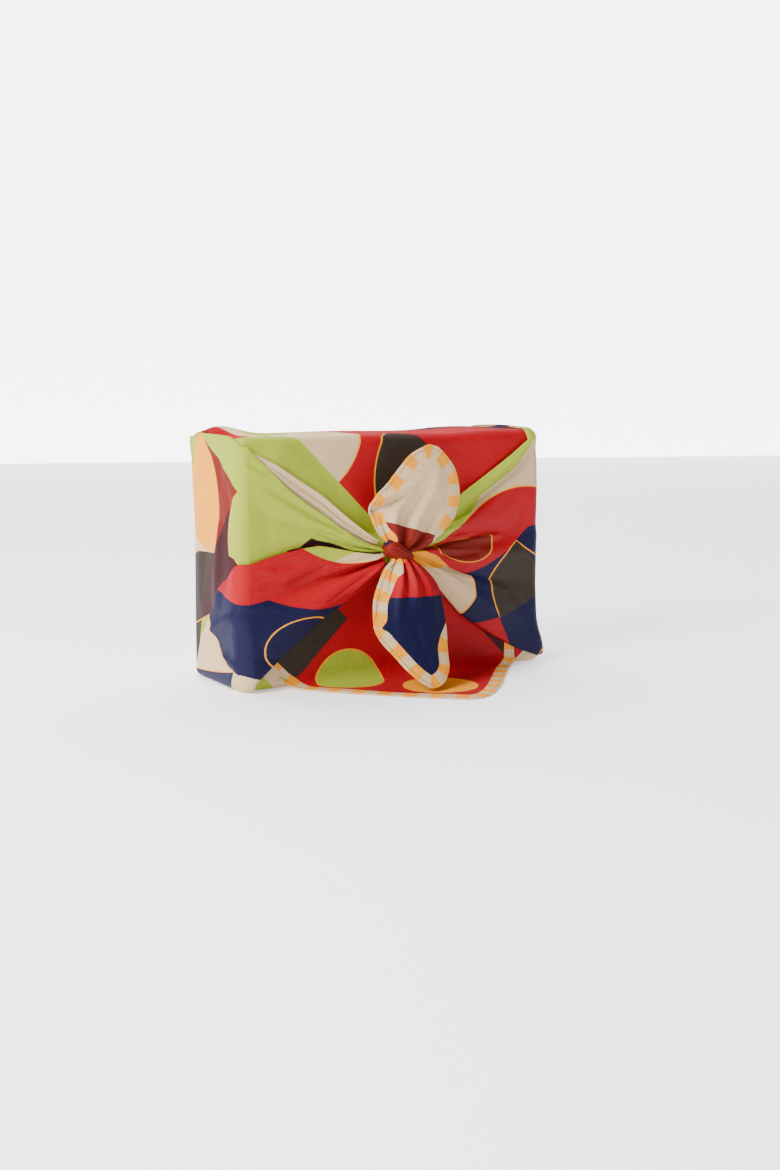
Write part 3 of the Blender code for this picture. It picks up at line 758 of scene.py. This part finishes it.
LEFT_UPPER = (
    Line("upper edge", 166, 154.2, 147.0, 17, 8.5, 3.4, 20, 0),
    Line("upper ridge", 170, 161, 153.5, 18.5, 8.8, 3.2, 18, 0),
    Line("upper trough", 174, 167, 163, 13, 3.4, 2.4, 14, 0),
    Line("lower ridge", 178, 171, 171, 15, 5.5, 2.6, 12, 0),
    Line("above the lap", 182, 175, 180.5, 11, 2.4, 1.6, 10, 18),
    Line("under the lap", 188, 184, 198, 9, 2.2, 1.3, 14, 0),
    Line("down to the base", 196, 200, 218.6, 6, 1.6, 1.2, 1, 0),
)
LEFT_UPPER_CREASES = (
    Stroke("valley under the hem", -124, 168, -32, 118, 4.5, -1.3),
    Stroke("long ridge", -118, 148, -34, 117, 6.5, 1.1),
    Stroke("dark pocket by the knot", -88, 120, -42, 119, 5.5, -1.8),
    Stroke("ridge over the pocket", -80, 129, -36, 120, 4.0, 1.3),
    Stroke("short crease at the top", -143, 191, -131, 183, 3.0, -0.8),
    Stroke("short crease below it", -143, 186, -126, 178, 3.6, 0.8),
    Stroke("end, upright fold", -168, 182, -157, 101, 8.0, -1.3),
    Stroke("end, upright ridge", -186, 140, -194, 66, 9.0, 1.7),
    Stroke("end, ripple", -175, 190, -160, 160, 5.0, 1.0),
    Stroke("end, second ripple", -186, 200, -178, 165, 6.0, -1.0),
    Stroke("end, low trough", -205, 70, -212, 26, 8.0, -1.4),
    Stroke("end, far ridge", -226, 150, -230, 60, 9.0, 1.2),
    Stroke("dull trough on the front", -146, 160, -120, 125, 9.0, -0.8),
)
LEFT_UPPER_PLEATS = pleats(
    (
        (160, 34, 92, 2.2, 0.7),
        (164, 16, 80, 1.8, -0.8),
        (168, 14, 66, 1.8, 0.8),
        (172, 14, 60, 1.6, -0.8),
        (177, 14, 66, 1.8, 0.7),
    )
)
left_upper = make_wing(
    "left_wing_upper", LEFT_UPPER, LEFT_UPPER_CREASES + LEFT_UPPER_PLEATS, 0.0010, (90, 8, 50),
    wrap_round(0.02), 0.10, (0.0013, None, None),
    1.10, (0.40, 0.33),
    stand_up_at_the_pocket,
)
dress(left_upper, print_cotton)

# On the left end the lower half of the wing stops at a lap that runs down to the base.
LapPoint = namedtuple("LapPoint", "y z")
LEFT_LAP = (
    LapPoint(41, -2),
    LapPoint(39, 6),
    LapPoint(36, 12),
    LapPoint(31, 20),
    LapPoint(20, 37),
    LapPoint(11, 46),
    LapPoint(3, 56.5),
    LapPoint(-12, 69.5),
    LapPoint(-16, 88),
    LapPoint(-28, 100),
    LapPoint(-34, 105),
)


def end_at_lap(angles, heights):
    """How far back each line of the lower left wing runs along the end."""
    z = np.array([outline_point(a)[1] for a in angles[:, 2]])
    y = np.interp(z * 1000, [p.z for p in LEFT_LAP], [p.y for p in LEFT_LAP]) / 1000
    x = np.array([outline_point(a)[0] for a in angles[:, 2]])
    under = np.clip((x + PARCEL_WIDTH / 2 - CORNER_ROUND) / 0.006, 0, 1)
    return y + (FRONT + 0.010 - y) * under, None


def stand_off_at_the_lap(grid):
    """The lap's fold stands a little off the cloth below it, and runs down from the front."""
    share = np.linspace(0, 1, grid.shape[1])[None]
    line = np.arange(len(grid))[:, None]
    past_edge = np.clip((grid[..., 1] - FRONT) / 0.0145, 0, 1)
    stand = 0.0022 * ease((share - 0.80) / 0.20) * ease((grid[..., 2] - 0.006) / 0.030)
    grid[..., 0] -= stand * past_edge * ease(line / 24)
    grid[..., 2] -= 0.011 * past_edge * ease((grid[..., 2] - 0.062) / 0.043)
    return grid


LEFT_LOWER = (
    Line("lap", 184, 175, 182.8, 17, 6.8, 4.4, 16, 0),
    Line("first ridge", 188, 181, 185, 18, 8.0, 4.6, 12, 0),
    Line("middle ridge", 193, 189, 188.5, 18.5, 9, 4.6, 12, 0),
    Line("middle trough", 201, 197, 196, 11.5, 3.4, 2.6, 14, 22),
    Line("lower ridge", 213, 207.5, 207, 18.5, 12.0, 7.0, 18, 0),
    Line("lower slope", 224, 215, 214.5, 17.0, 9.8, 7.0, 18, 0),
    Line("lower edge", 234, 220.5, 220.6, 13.5, 6.6, 5.4, 1, 0),
)
LEFT_LOWER_CREASES = (
    Stroke("lime crease below the lap", -129, 103, -93, 107, 3.5, -1.1),
    Stroke("second crease", -144, 87, -100, 89, 3.5, -1.2),
    Stroke("short crease", -133, 101, -119, 102, 2.5, 0.7),
    Stroke("dark pocket", -108, 86, -74, 101, 5.0, -1.6),
    Stroke("navy ridge", -134, 42, -40, 88, 6.5, 0.9),
    Stroke("pinch, bright ridge", -218, 38, -146, 67, 4.6, 2.4),
    Stroke("pinch, valley", -198, 33, -158, 55, 4.0, -1.2),
    Stroke("end fold", -196, 26, -150, 22, 5.0, 1.5),
    Stroke("end fold below it", -186, 12, -158, 34, 4.0, -0.8),
    Stroke("corner crease", -147, 45, -143, 8, 4.0, -1.3),
    Stroke("lower crease", -144, 30, -105, 25, 4.0, -1.0),
    Stroke("first crease of the corner", -150, 72, -112, 70, 4.0, 1.1),
)
LEFT_LOWER_PLEATS = pleats(
    (
        (186, 14, 70, 1.8, 0.8),
        (190, 12, 60, 1.8, -0.9),
        (195, 16, 84, 2.0, 0.8),
        (201, 12, 58, 1.8, -0.9),
        (206, 16, 70, 2.0, 0.7),
        (212, 12, 76, 1.8, -0.8),
        (218, 14, 60, 1.8, 0.7),
    )
)
left_lower = make_wing(
    "left_wing_lower", LEFT_LOWER, LEFT_LOWER_CREASES + LEFT_LOWER_PLEATS, 0.0028, (90, 8, 60),
    end_at_lap, 0.10, (0.0016, 0.0019, 0.0019),
    0.785, (0.03, 0.30),
    stand_off_at_the_lap,
)
dress(left_lower, print_cotton)

HEM_BAND = (
    Line("turned edge", 152, 145.1, 147.9, 16, 6.8, 2.0, 8, 0),
    Line("first groove", 156, 147.4, 148.2, 13, 4.0, 1.4, 8, 0),
    Line("inner ridge", 160, 150.2, 148.6, 15.5, 6.2, 1.8, 8, 0),
    Line("second groove", 165, 153.2, 148.6, 12.5, 3.2, 1.0, 6, 0),
    Line("under the wing", 168, 157, 148.8, 11, 2.6, 0.2, 1, 0),
)
hem_band = make_wing(
    "left_wing_hem", HEM_BAND, (), 0.0006, (90, 8, 6), end_at_lap, 0.12, (0.0011, None, None),
    0.3, (0.0, 0.0), as_it_is,
)
hem_cotton = cotton("cotton sateen, turned edge", CREAM, CREAM, 0.0)
dress(hem_band, hem_cotton)

RIGHT_WING = (
    Line("lower edge", -30, -38, -33.2, 15, 7.0, 5.5, 14, 0),
    Line("lower ridge", -20, -27, -23, 18.5, 10.5, 6, 16, 0),
    Line("lower trough", -13, -17.5, -14, 14, 4.8, 3.2, 16, 26),
    Line("middle ridge", -6, -6.5, -5, 19, 9, 3.8, 16, 0),
    Line("middle trough", 1, 4, 5.5, 14, 4.0, 2.2, 14, 22),
    Line("upper ridge", 9, 13, 16, 18, 8.2, 4, 16, 0),
    Line("deep fold", 15, 23.5, 27.0, 12.5, 3.4, 2.2, 10, 30),
    Line("upper band", 20, 28.5, 30.5, 18, 8.8, 5, 10, 0),
    Line("upper edge", 26, 33.5, 33.4, 15, 7.5, 4.4, 1, 0),
)
RIGHT_CREASES = (
    Stroke("deep fold, line", 57, 136, 141, 193, 3.5, -1.3),
    Stroke("upper band, middle", 66, 150, 139, 200, 5.0, 0.9),
    Stroke("lower rust ridge", 66, 131, 133, 173, 4.5, 0.9),
    Stroke("red ridge", 22, 111, 105, 119, 4.0, 1.3),
    Stroke("valley above it", 28, 114, 66, 126, 4.0, -1.3),
    Stroke("valley below it", 24, 103, 82, 105, 4.5, -1.5),
    Stroke("level crease", 87, 111, 145, 126, 6.0, -0.9),
    Stroke("middle crease", 78, 107, 139, 102, 6.0, 0.8),
    Stroke("cream crease", 66, 118, 110, 118, 4.5, 0.8),
    Stroke("lime ridge", 24, 97, 115, 68, 5.0, 1.2),
    Stroke("lime valley", 44, 95, 78, 84, 4.0, -1.0),
    Stroke("lower ridge", 37, 87, 116, 42, 5.0, 0.9),
    Stroke("foot crease", 115, 70, 145, 36, 6.0, -0.9),
    Stroke("upright crease", 129, 152, 127, 121, 6.0, -0.7),
    Stroke("end, slanting fold", 150, 120, 200, 60, 9.0, 1.4),
    Stroke("end, second fold", 150, 150, 205, 120, 9.0, -1.2),
    Stroke("end, upper fold", 150, 185, 210, 190, 8.0, 1.1),
)
RIGHT_PLEATS = pleats(
    (
        (-30, 14, 70, 1.8, -0.8),
        (-25, 16, 90, 1.8, 0.8),
        (-20, 14, 66, 1.6, -0.8),
        (-15, 16, 60, 1.8, 0.7),
        (-8, 14, 76, 1.6, -0.9),
        (-3, 16, 84, 1.8, 0.8),
        (2, 14, 60, 1.6, -0.9),
        (7, 16, 90, 1.8, 0.9),
        (12, 14, 70, 1.6, -0.9),
        (19, 20, 100, 1.8, 0.7),
        (26, 18, 110, 1.8, -0.7),
    )
)
right_wing = make_wing(
    "right_wing", RIGHT_WING, RIGHT_CREASES + RIGHT_PLEATS, 0.0010, (90, 8, 44),
    wrap_round(0.02), 0.10, (0.0024, 0.0022, None),
    0.80, (0.42, 0.05), as_it_is,
)
dress(right_wing, print_cotton)


# The corner of the cloth in front: it comes down the face below the knot, bends at the
# foot and lies forward on the surface, with its printed border along the hem.
# Outline from left to right; reach is how far it lies in front of the parcel there.
Reach = namedtuple("Reach", "x reach")
FLAP_EDGE = (
    Reach(-108, 0),
    Reach(-89, 29),
    Reach(-66, 55),
    Reach(-41, 79),
    Reach(-17, 101),
    Reach(-1, 115),
    Reach(8, 118.5),
    Reach(17, 116.5),
    Reach(29, 109),
    Reach(51, 87),
    Reach(86, 44),
    Reach(122, 0),
)
FLAP_LEFT = -0.108
FLAP_RIGHT = 0.122
FLAP_SPREAD = 0.03
FLAP_LINES = 110
FLAP_TOP = 0.098
FLAP_BEND = 0.011
FLAP_OFF = 0.0030


def edge_places(flat, outline):
    """For each flat point, how far along the outline it is and how far from it."""
    best = np.full(flat.shape[:-1], 9.0)
    along = np.zeros(flat.shape[:-1])
    run = 0.0
    for a, b in zip(outline[:-1], outline[1:]):
        d = b - a
        size = np.linalg.norm(d)
        t = np.clip(((flat - a) @ d) / (size * size), 0, 1)
        gap = np.linalg.norm(flat - a - t[..., None] * d, axis=-1)
        along = np.where(gap < best, run + t * size, along)
        best = np.minimum(best, gap)
        run += size
    return np.stack([along, best], -1)


def smooth_line(points, steps=8):
    """A rounded curve through a table's points."""
    p = np.array([points[0], *points, points[-1]], float)
    out = []
    for a, b, c, d in zip(p[:-3], p[1:-2], p[2:-1], p[3:]):
        for t in np.linspace(0, 1, steps, endpoint=False):
            out.append(
                0.5 * (2 * b + (c - a) * t + (2 * a - 5 * b + 4 * c - d) * t * t
                       + (3 * b - 3 * c + d - a) * t**3)
            )
    return np.array(out + [p[-1]])


flap_edge = smooth_line([(e.x, -e.reach) for e in FLAP_EDGE]) / 1000
left_rise = [(FLAP_LEFT - z, z) for z in np.linspace(0.034, 0.004, 12)]
right_rise = [(FLAP_RIGHT + FLAP_SPREAD * z, z) for z in np.linspace(0.004, FLAP_TOP, 12)]
flap_outline = np.array([*left_rise, *flap_edge, *right_rise])
tip = int(np.argmin(flap_edge[:, 1]))
run_rows = np.concatenate(
    [np.linspace(FLAP_TOP, 0.02, 34), np.linspace(0.018, -0.02, 24), np.linspace(-0.024, -0.1184, 44)]
)
left_x = np.where(
    run_rows > 0,
    np.maximum(FLAP_LEFT - run_rows, -0.142),
    np.interp(-run_rows, -flap_edge[: tip + 1, 1], flap_edge[: tip + 1, 0]),
)
right_x = np.where(
    run_rows > 0,
    FLAP_RIGHT + FLAP_SPREAD * run_rows,
    np.interp(-run_rows, -flap_edge[tip:, 1][::-1], flap_edge[tip:, 0][::-1]),
)
spread = np.linspace(0, 1, FLAP_LINES)
spread = spread - 0.06 * np.sin(2 * np.pi * spread) / (2 * np.pi) * 4
flap_x = left_x[:, None] + (right_x - left_x)[:, None] * spread[None]
flap_run = np.repeat(run_rows[:, None], FLAP_LINES, 1)
bend_top, bend_end = FLAP_BEND + 0.001, -FLAP_BEND - FLAP_OFF
down = np.clip((bend_top - flap_run) / (bend_top - bend_end), 0, 1) * math.pi / 2
flap_y = FRONT - FLAP_OFF - FLAP_BEND * (1 - np.cos(down)) - np.maximum(bend_end - flap_run, 0)
flap_z = np.maximum(flap_run, bend_top) - FLAP_BEND * np.sin(down)
wave = np.sin(flap_x / 0.017 + 0.8) + 0.6 * np.sin(flap_x / 0.0093 + 2.1)
lying = np.clip((-flap_run - 0.004) / 0.03, 0, 1)
flap_z += lying * 0.0005 * (1 + wave * 0.6)
near_knot = np.exp(-(((flap_x - KNOT_X) / 0.05) ** 2) - (((flap_run - 0.098) / 0.035) ** 2))
flap_y -= near_knot * 0.006
flap_grid = np.stack([flap_x, flap_y, flap_z + CLOTH - 0.0006], -1)
flat_flap = np.stack([flap_x, flap_run], -1)
FLAP_CREASES = (
    Stroke("fan fold, left", -90, 30, -30, 86, 7, 1.1),
    Stroke("fan fold, middle left", -46, 22, -18, 86, 8, -0.8),
    Stroke("fan fold, middle", -8, 24, -8, 80, 9, 0.9),
    Stroke("fan fold, right", 60, 34, 8, 88, 8, 1.0),
    Stroke("fan fold, far right", 100, 30, 40, 70, 8, -0.7),
)
flap_grid = crease(flap_grid, FLAP_CREASES, 1.0, (0, 0.0, 0.02))
front_flap = make_piece(
    "front_flap",
    flap_grid,
    grid_faces(*flap_grid.shape[:2], False),
    {
        "cloth": np.stack(corner_places(flap_x, FLAP_REACH + flap_run), -1),
        "edge": edge_places(flat_flap, flap_outline),
    },
    (0, 0.0, -0.3),
)
thicken(front_flap)
dress(front_flap, print_cotton)


# The two free ends of the tie: the far corners of the cloth, flat sheets pinched into
# pleats by the knot. Rows run outwards from the knot. along is the distance above or
# below it, left and right the edges either side of the middle, proud how far the row
# stands in front of the parcel, curl how far the edges bend forwards. Millimetres.
Row = namedtuple("Row", "along left right proud curl_left curl_right")
Pleat = namedtuple("Pleat", "start across_start end across_end width height")
UP_EAR = (
    Row(0, -7, 8, 20, 0, 0),
    Row(4, -12, 16, 22.5, -3, -2),
    Row(10, -23, 25, 26, -5, -4),
    Row(20, -34, 33, 27.5, -5, -4),
    Row(30, -39, 39, 27, -3, -3),
    Row(40, -37, 43, 28, -2, -2),
    Row(50, -31, 43, 29, -2, -2),
    Row(60, -26, 41.5, 30, -3, -2),
    Row(70, -21.5, 37.5, 31, -3, -3),
    Row(80, -16.5, 30.5, 31, -2, -2),
    Row(88, -9, 20, 30.5, 0, -1),
    Row(94, -1, 8, 30, 0, 0),
)
DOWN_EAR = (
    Row(0, -6, 7, 20, 0, 0),
    Row(4, -7, 12, 24, -2, -2),
    Row(8, -8, 15, 27, -4, -4),
    Row(15, -16.5, 23, 33, -7, -6),
    Row(26, -25, 31, 41, -9, -8),
    Row(38, -32.5, 33, 47, -8.5, -8),
    Row(53, -37, 32, 54, -7, -7),
    Row(63, -38, 30.5, 59, -6, -6),
    Row(72, -34, 28.5, 63, -5, -5),
    Row(82, -26, 26, 68, -4, -4),
    Row(93, -17.5, 23.5, 74, -3, -3),
    Row(101, -9.5, 17, 79, -1.5, -1.5),
    Row(105, -4, 10, 82, 0, 0),
    Row(107, -1, 4, 83, 0, 0),
)
UP_PLEATS = (
    Pleat(0.00, -0.62, 0.34, -0.72, 0.09, -4.0),
    Pleat(0.02, -0.42, 0.66, -0.36, 0.12, 6.0),
    Pleat(0.02, -0.08, 0.58, 0.02, 0.08, -5.0),
    Pleat(0.02, 0.20, 0.74, 0.16, 0.13, 5.0),
    Pleat(0.02, 0.50, 0.50, 0.58, 0.09, -4.2),
    Pleat(0.02, 0.74, 0.66, 0.80, 0.11, 3.2),
    Pleat(0.24, -1.00, 0.56, -0.30, 0.15, -7.0),
    Pleat(0.34, -1.00, 0.70, -0.20, 0.12, 4.6),
    Pleat(0.50, 0.40, 0.95, 0.06, 0.20, 1.6),
    Pleat(0.44, 0.72, 0.88, 0.50, 0.14, -1.6),
)
DOWN_PLEATS = (
    Pleat(0.00, -0.60, 0.36, -0.66, 0.08, -4.6),
    Pleat(0.02, -0.34, 0.66, -0.42, 0.10, 4.6),
    Pleat(0.02, -0.10, 0.44, -0.12, 0.08, -4.0),
    Pleat(0.02, 0.14, 0.62, 0.10, 0.10, 4.4),
    Pleat(0.02, 0.40, 0.42, 0.42, 0.08, -3.8),
    Pleat(0.02, 0.66, 0.60, 0.66, 0.10, 3.2),
    Pleat(0.35, 0.14, 0.88, 0.02, 0.10, -1.8),
    Pleat(0.30, -0.75, 0.62, -0.98, 0.12, -2.6),
    Pleat(0.46, 0.50, 0.92, 0.30, 0.16, 1.2),
)
HemTurn = namedtuple("HemTurn", "share out")
UP_HEM_LEFT = (HemTurn(0, 8), HemTurn(0.06, 4), HemTurn(0.2, 0), HemTurn(1, 0))
UP_HEM_RIGHT = (HemTurn(0, 30), HemTurn(0.15, 12), HemTurn(0.22, 6), HemTurn(0.36, 0), HemTurn(1, 0))
DOWN_HEM_LEFT = (
    HemTurn(0, 0), HemTurn(0.46, 0), HemTurn(0.54, 7), HemTurn(0.60, 7), HemTurn(0.66, 0), HemTurn(1, 0)
)
DOWN_HEM_RIGHT = (
    HemTurn(0, 30), HemTurn(0.54, 18), HemTurn(0.60, 10), HemTurn(0.68, 3), HemTurn(0.74, 0), HemTurn(1, 0)
)


def smooth_rows(rows, count):
    """The table's rows made finer, each value eased by a rounded curve."""
    table = np.array(rows, float)
    fine = np.array([smooth_line(table[:, [0, k]].tolist(), 12)[:, 1] for k in range(6)]).T
    run = np.linspace(0, 1, len(fine))
    return np.stack([np.interp(np.linspace(0, 1, count), run, fine[:, k]) for k in range(6)], 1)


def make_ear(name, rows, pleats, lean, side, hems, cloth_start):
    """One free end; hems tells how far the left and right hems are turned out of sight."""
    fine = smooth_rows(rows, 110)
    across = np.sin(np.linspace(-math.pi / 2, math.pi / 2, 90) * 0.92) / math.sin(math.pi / 2 * 0.92)
    along, left, right, proud = (fine[:, k, None] for k in range(4))
    offset = left + (right - left) * (across + 1) / 2
    curl = np.where(across < 0, fine[:, 4, None], fine[:, 5, None]) * across**2
    share = along / fine[-1, 0]
    push = np.zeros(offset.shape)
    for p in pleats:
        t = (share - p.start) / (p.end - p.start)
        centre = p.across_start + (p.across_end - p.across_start) * np.clip(t, 0, 1)
        inside = np.clip(t * 6, 0, 1) * np.clip(1 - t, 0, 1) ** 0.9
        push += p.height * inside * np.exp(-(((across - centre) / p.width) ** 2))
    push *= 1 - 0.65 * across**8
    rise = along + 0 * offset
    x = KNOT_X * 1000 + offset * math.cos(lean) + rise * math.sin(lean)
    z = KNOT_Z * 1000 + side * (rise * math.cos(lean) - offset * math.sin(lean))
    y = FRONT * 1000 - proud - curl - push
    grid = np.stack([x, y, z], -1) / 1000
    slope = np.gradient(fine[:, 3]) / np.maximum(np.gradient(fine[:, 0]), 0.05)
    stretch = np.cumsum(np.gradient(fine[:, 0]) * np.sqrt(1 + slope**2))
    flat = np.stack([offset, np.repeat(stretch[:, None], offset.shape[1], 1)], -1) / 1000
    out = [np.interp(share[:, 0], *np.array(hem, float).T) / 1000 for hem in hems]
    left_hem = flat[:, 0] - np.stack([out[0], 0 * out[0]], -1)
    right_hem = flat[:, -1] + np.stack([out[1], 0 * out[1]], -1)
    outline = np.concatenate([left_hem, flat[-1, 1:-1], right_hem[::-1]])
    maps = {"cloth": flat + cloth_start, "edge": edge_places(flat, outline)}
    ear = make_piece(name, grid, grid_faces(*grid.shape[:2], False), maps, (0, 0.4, 0.1))
    thicken(ear, 0.0012, 0)
    return ear


up_ear = make_ear(
    "up_end", UP_EAR, UP_PLEATS, math.radians(16), 1, (UP_HEM_LEFT, UP_HEM_RIGHT), (1.0, 0)
)
pale_cotton = cotton("cotton sateen, pale end", CREAM, RUST, 0.024)
dress(up_ear, pale_cotton)
down_ear = make_ear(
    "down_end", DOWN_EAR, DOWN_PLEATS, math.radians(-2), -1, (DOWN_HEM_LEFT, DOWN_HEM_RIGHT), (2.0, 0)
)
dark_cotton = cotton("cotton sateen, dark end", NAVY, RED, 0.046)
dress(down_ear, dark_cotton)


# The knot: the cloth wrapped once over the gathered ends, broad and rounded at its upper
# left and drawn in at its lower right, where its folds run together.
KnotSection = namedtuple("KnotSection", "along half_height half_depth rise")
KNOT_SECTIONS = (
    KnotSection(-14.0, 0.2, 0.4, 0.6),
    KnotSection(-13.4, 4.2, 5.0, 0.6),
    KnotSection(-11.5, 6.8, 7.4, 0.7),
    KnotSection(-7.5, 8.4, 9.2, 0.8),
    KnotSection(-2.0, 8.2, 9.6, 0.4),
    KnotSection(4.0, 6.6, 8.6, -0.4),
    KnotSection(9.5, 4.6, 6.8, -0.8),
    KnotSection(13.5, 3.0, 4.8, -0.8),
    KnotSection(15.5, 1.2, 2.6, -0.6),
)
KnotFold = namedtuple("KnotFold", "turn_left turn_right width depth")
KNOT_FOLDS = (
    KnotFold(-74, -40, 12, 0.16),
    KnotFold(-40, -16, 9, 0.13),
    KnotFold(-6, 2, 8, 0.15),
    KnotFold(34, 16, 9, 0.10),
    KnotFold(66, 38, 10, 0.16),
    KnotFold(104, 70, 12, 0.12),
)
KNOT_TURN = math.radians(20)
KNOT_LINES = 96
knot_rows = smooth_line([(s.along, s.half_height) for s in KNOT_SECTIONS], 7)
knot_depths = smooth_line([(s.along, s.half_depth) for s in KNOT_SECTIONS], 7)[:, 1]
knot_rises = smooth_line([(s.along, s.rise) for s in KNOT_SECTIONS], 7)[:, 1]
roll_turn = np.linspace(0, 2 * math.pi, KNOT_LINES, endpoint=False)[:, None]
knot_share = np.linspace(0, 1, len(knot_rows))[None]
thick = np.ones((KNOT_LINES, len(knot_rows)))
for fold in KNOT_FOLDS:
    centre = np.radians(fold.turn_left + (fold.turn_right - fold.turn_left) * knot_share)
    gap = np.angle(np.exp(1j * (roll_turn - centre)))
    thick -= fold.depth * np.exp(-((gap / math.radians(fold.width)) ** 2)) * (0.35 + 0.65 * knot_share)
lx = (knot_rows[None, :, 0] + 0 * roll_turn) / 1000
ly = -knot_depths[None] * thick * np.cos(roll_turn) / 1000
lz = (knot_rows[None, :, 1] * thick * np.sin(roll_turn) + knot_rises[None]) / 1000
roll_grid = np.stack(
    [
        KNOT_X + lx * math.cos(KNOT_TURN) + lz * math.sin(KNOT_TURN),
        FRONT - KNOT_PROUD + ly,
        KNOT_Z - lx * math.sin(KNOT_TURN) + lz * math.cos(KNOT_TURN),
    ],
    -1,
)
round_knot = 3.0 + roll_turn / (2 * math.pi) * 0.06 + 0 * lx
knot_map = np.stack([round_knot, lx - 0.012 * np.sin(roll_turn)], -1)
knot = make_piece(
    "knot", roll_grid, grid_faces(KNOT_LINES, len(knot_rows), True), {"cloth": knot_map},
    (KNOT_X, FRONT - KNOT_PROUD, KNOT_Z),
)
thicken(knot)
dress(
    knot, cotton("cotton sateen, knot", RUST, NAVY, -0.0195),
)
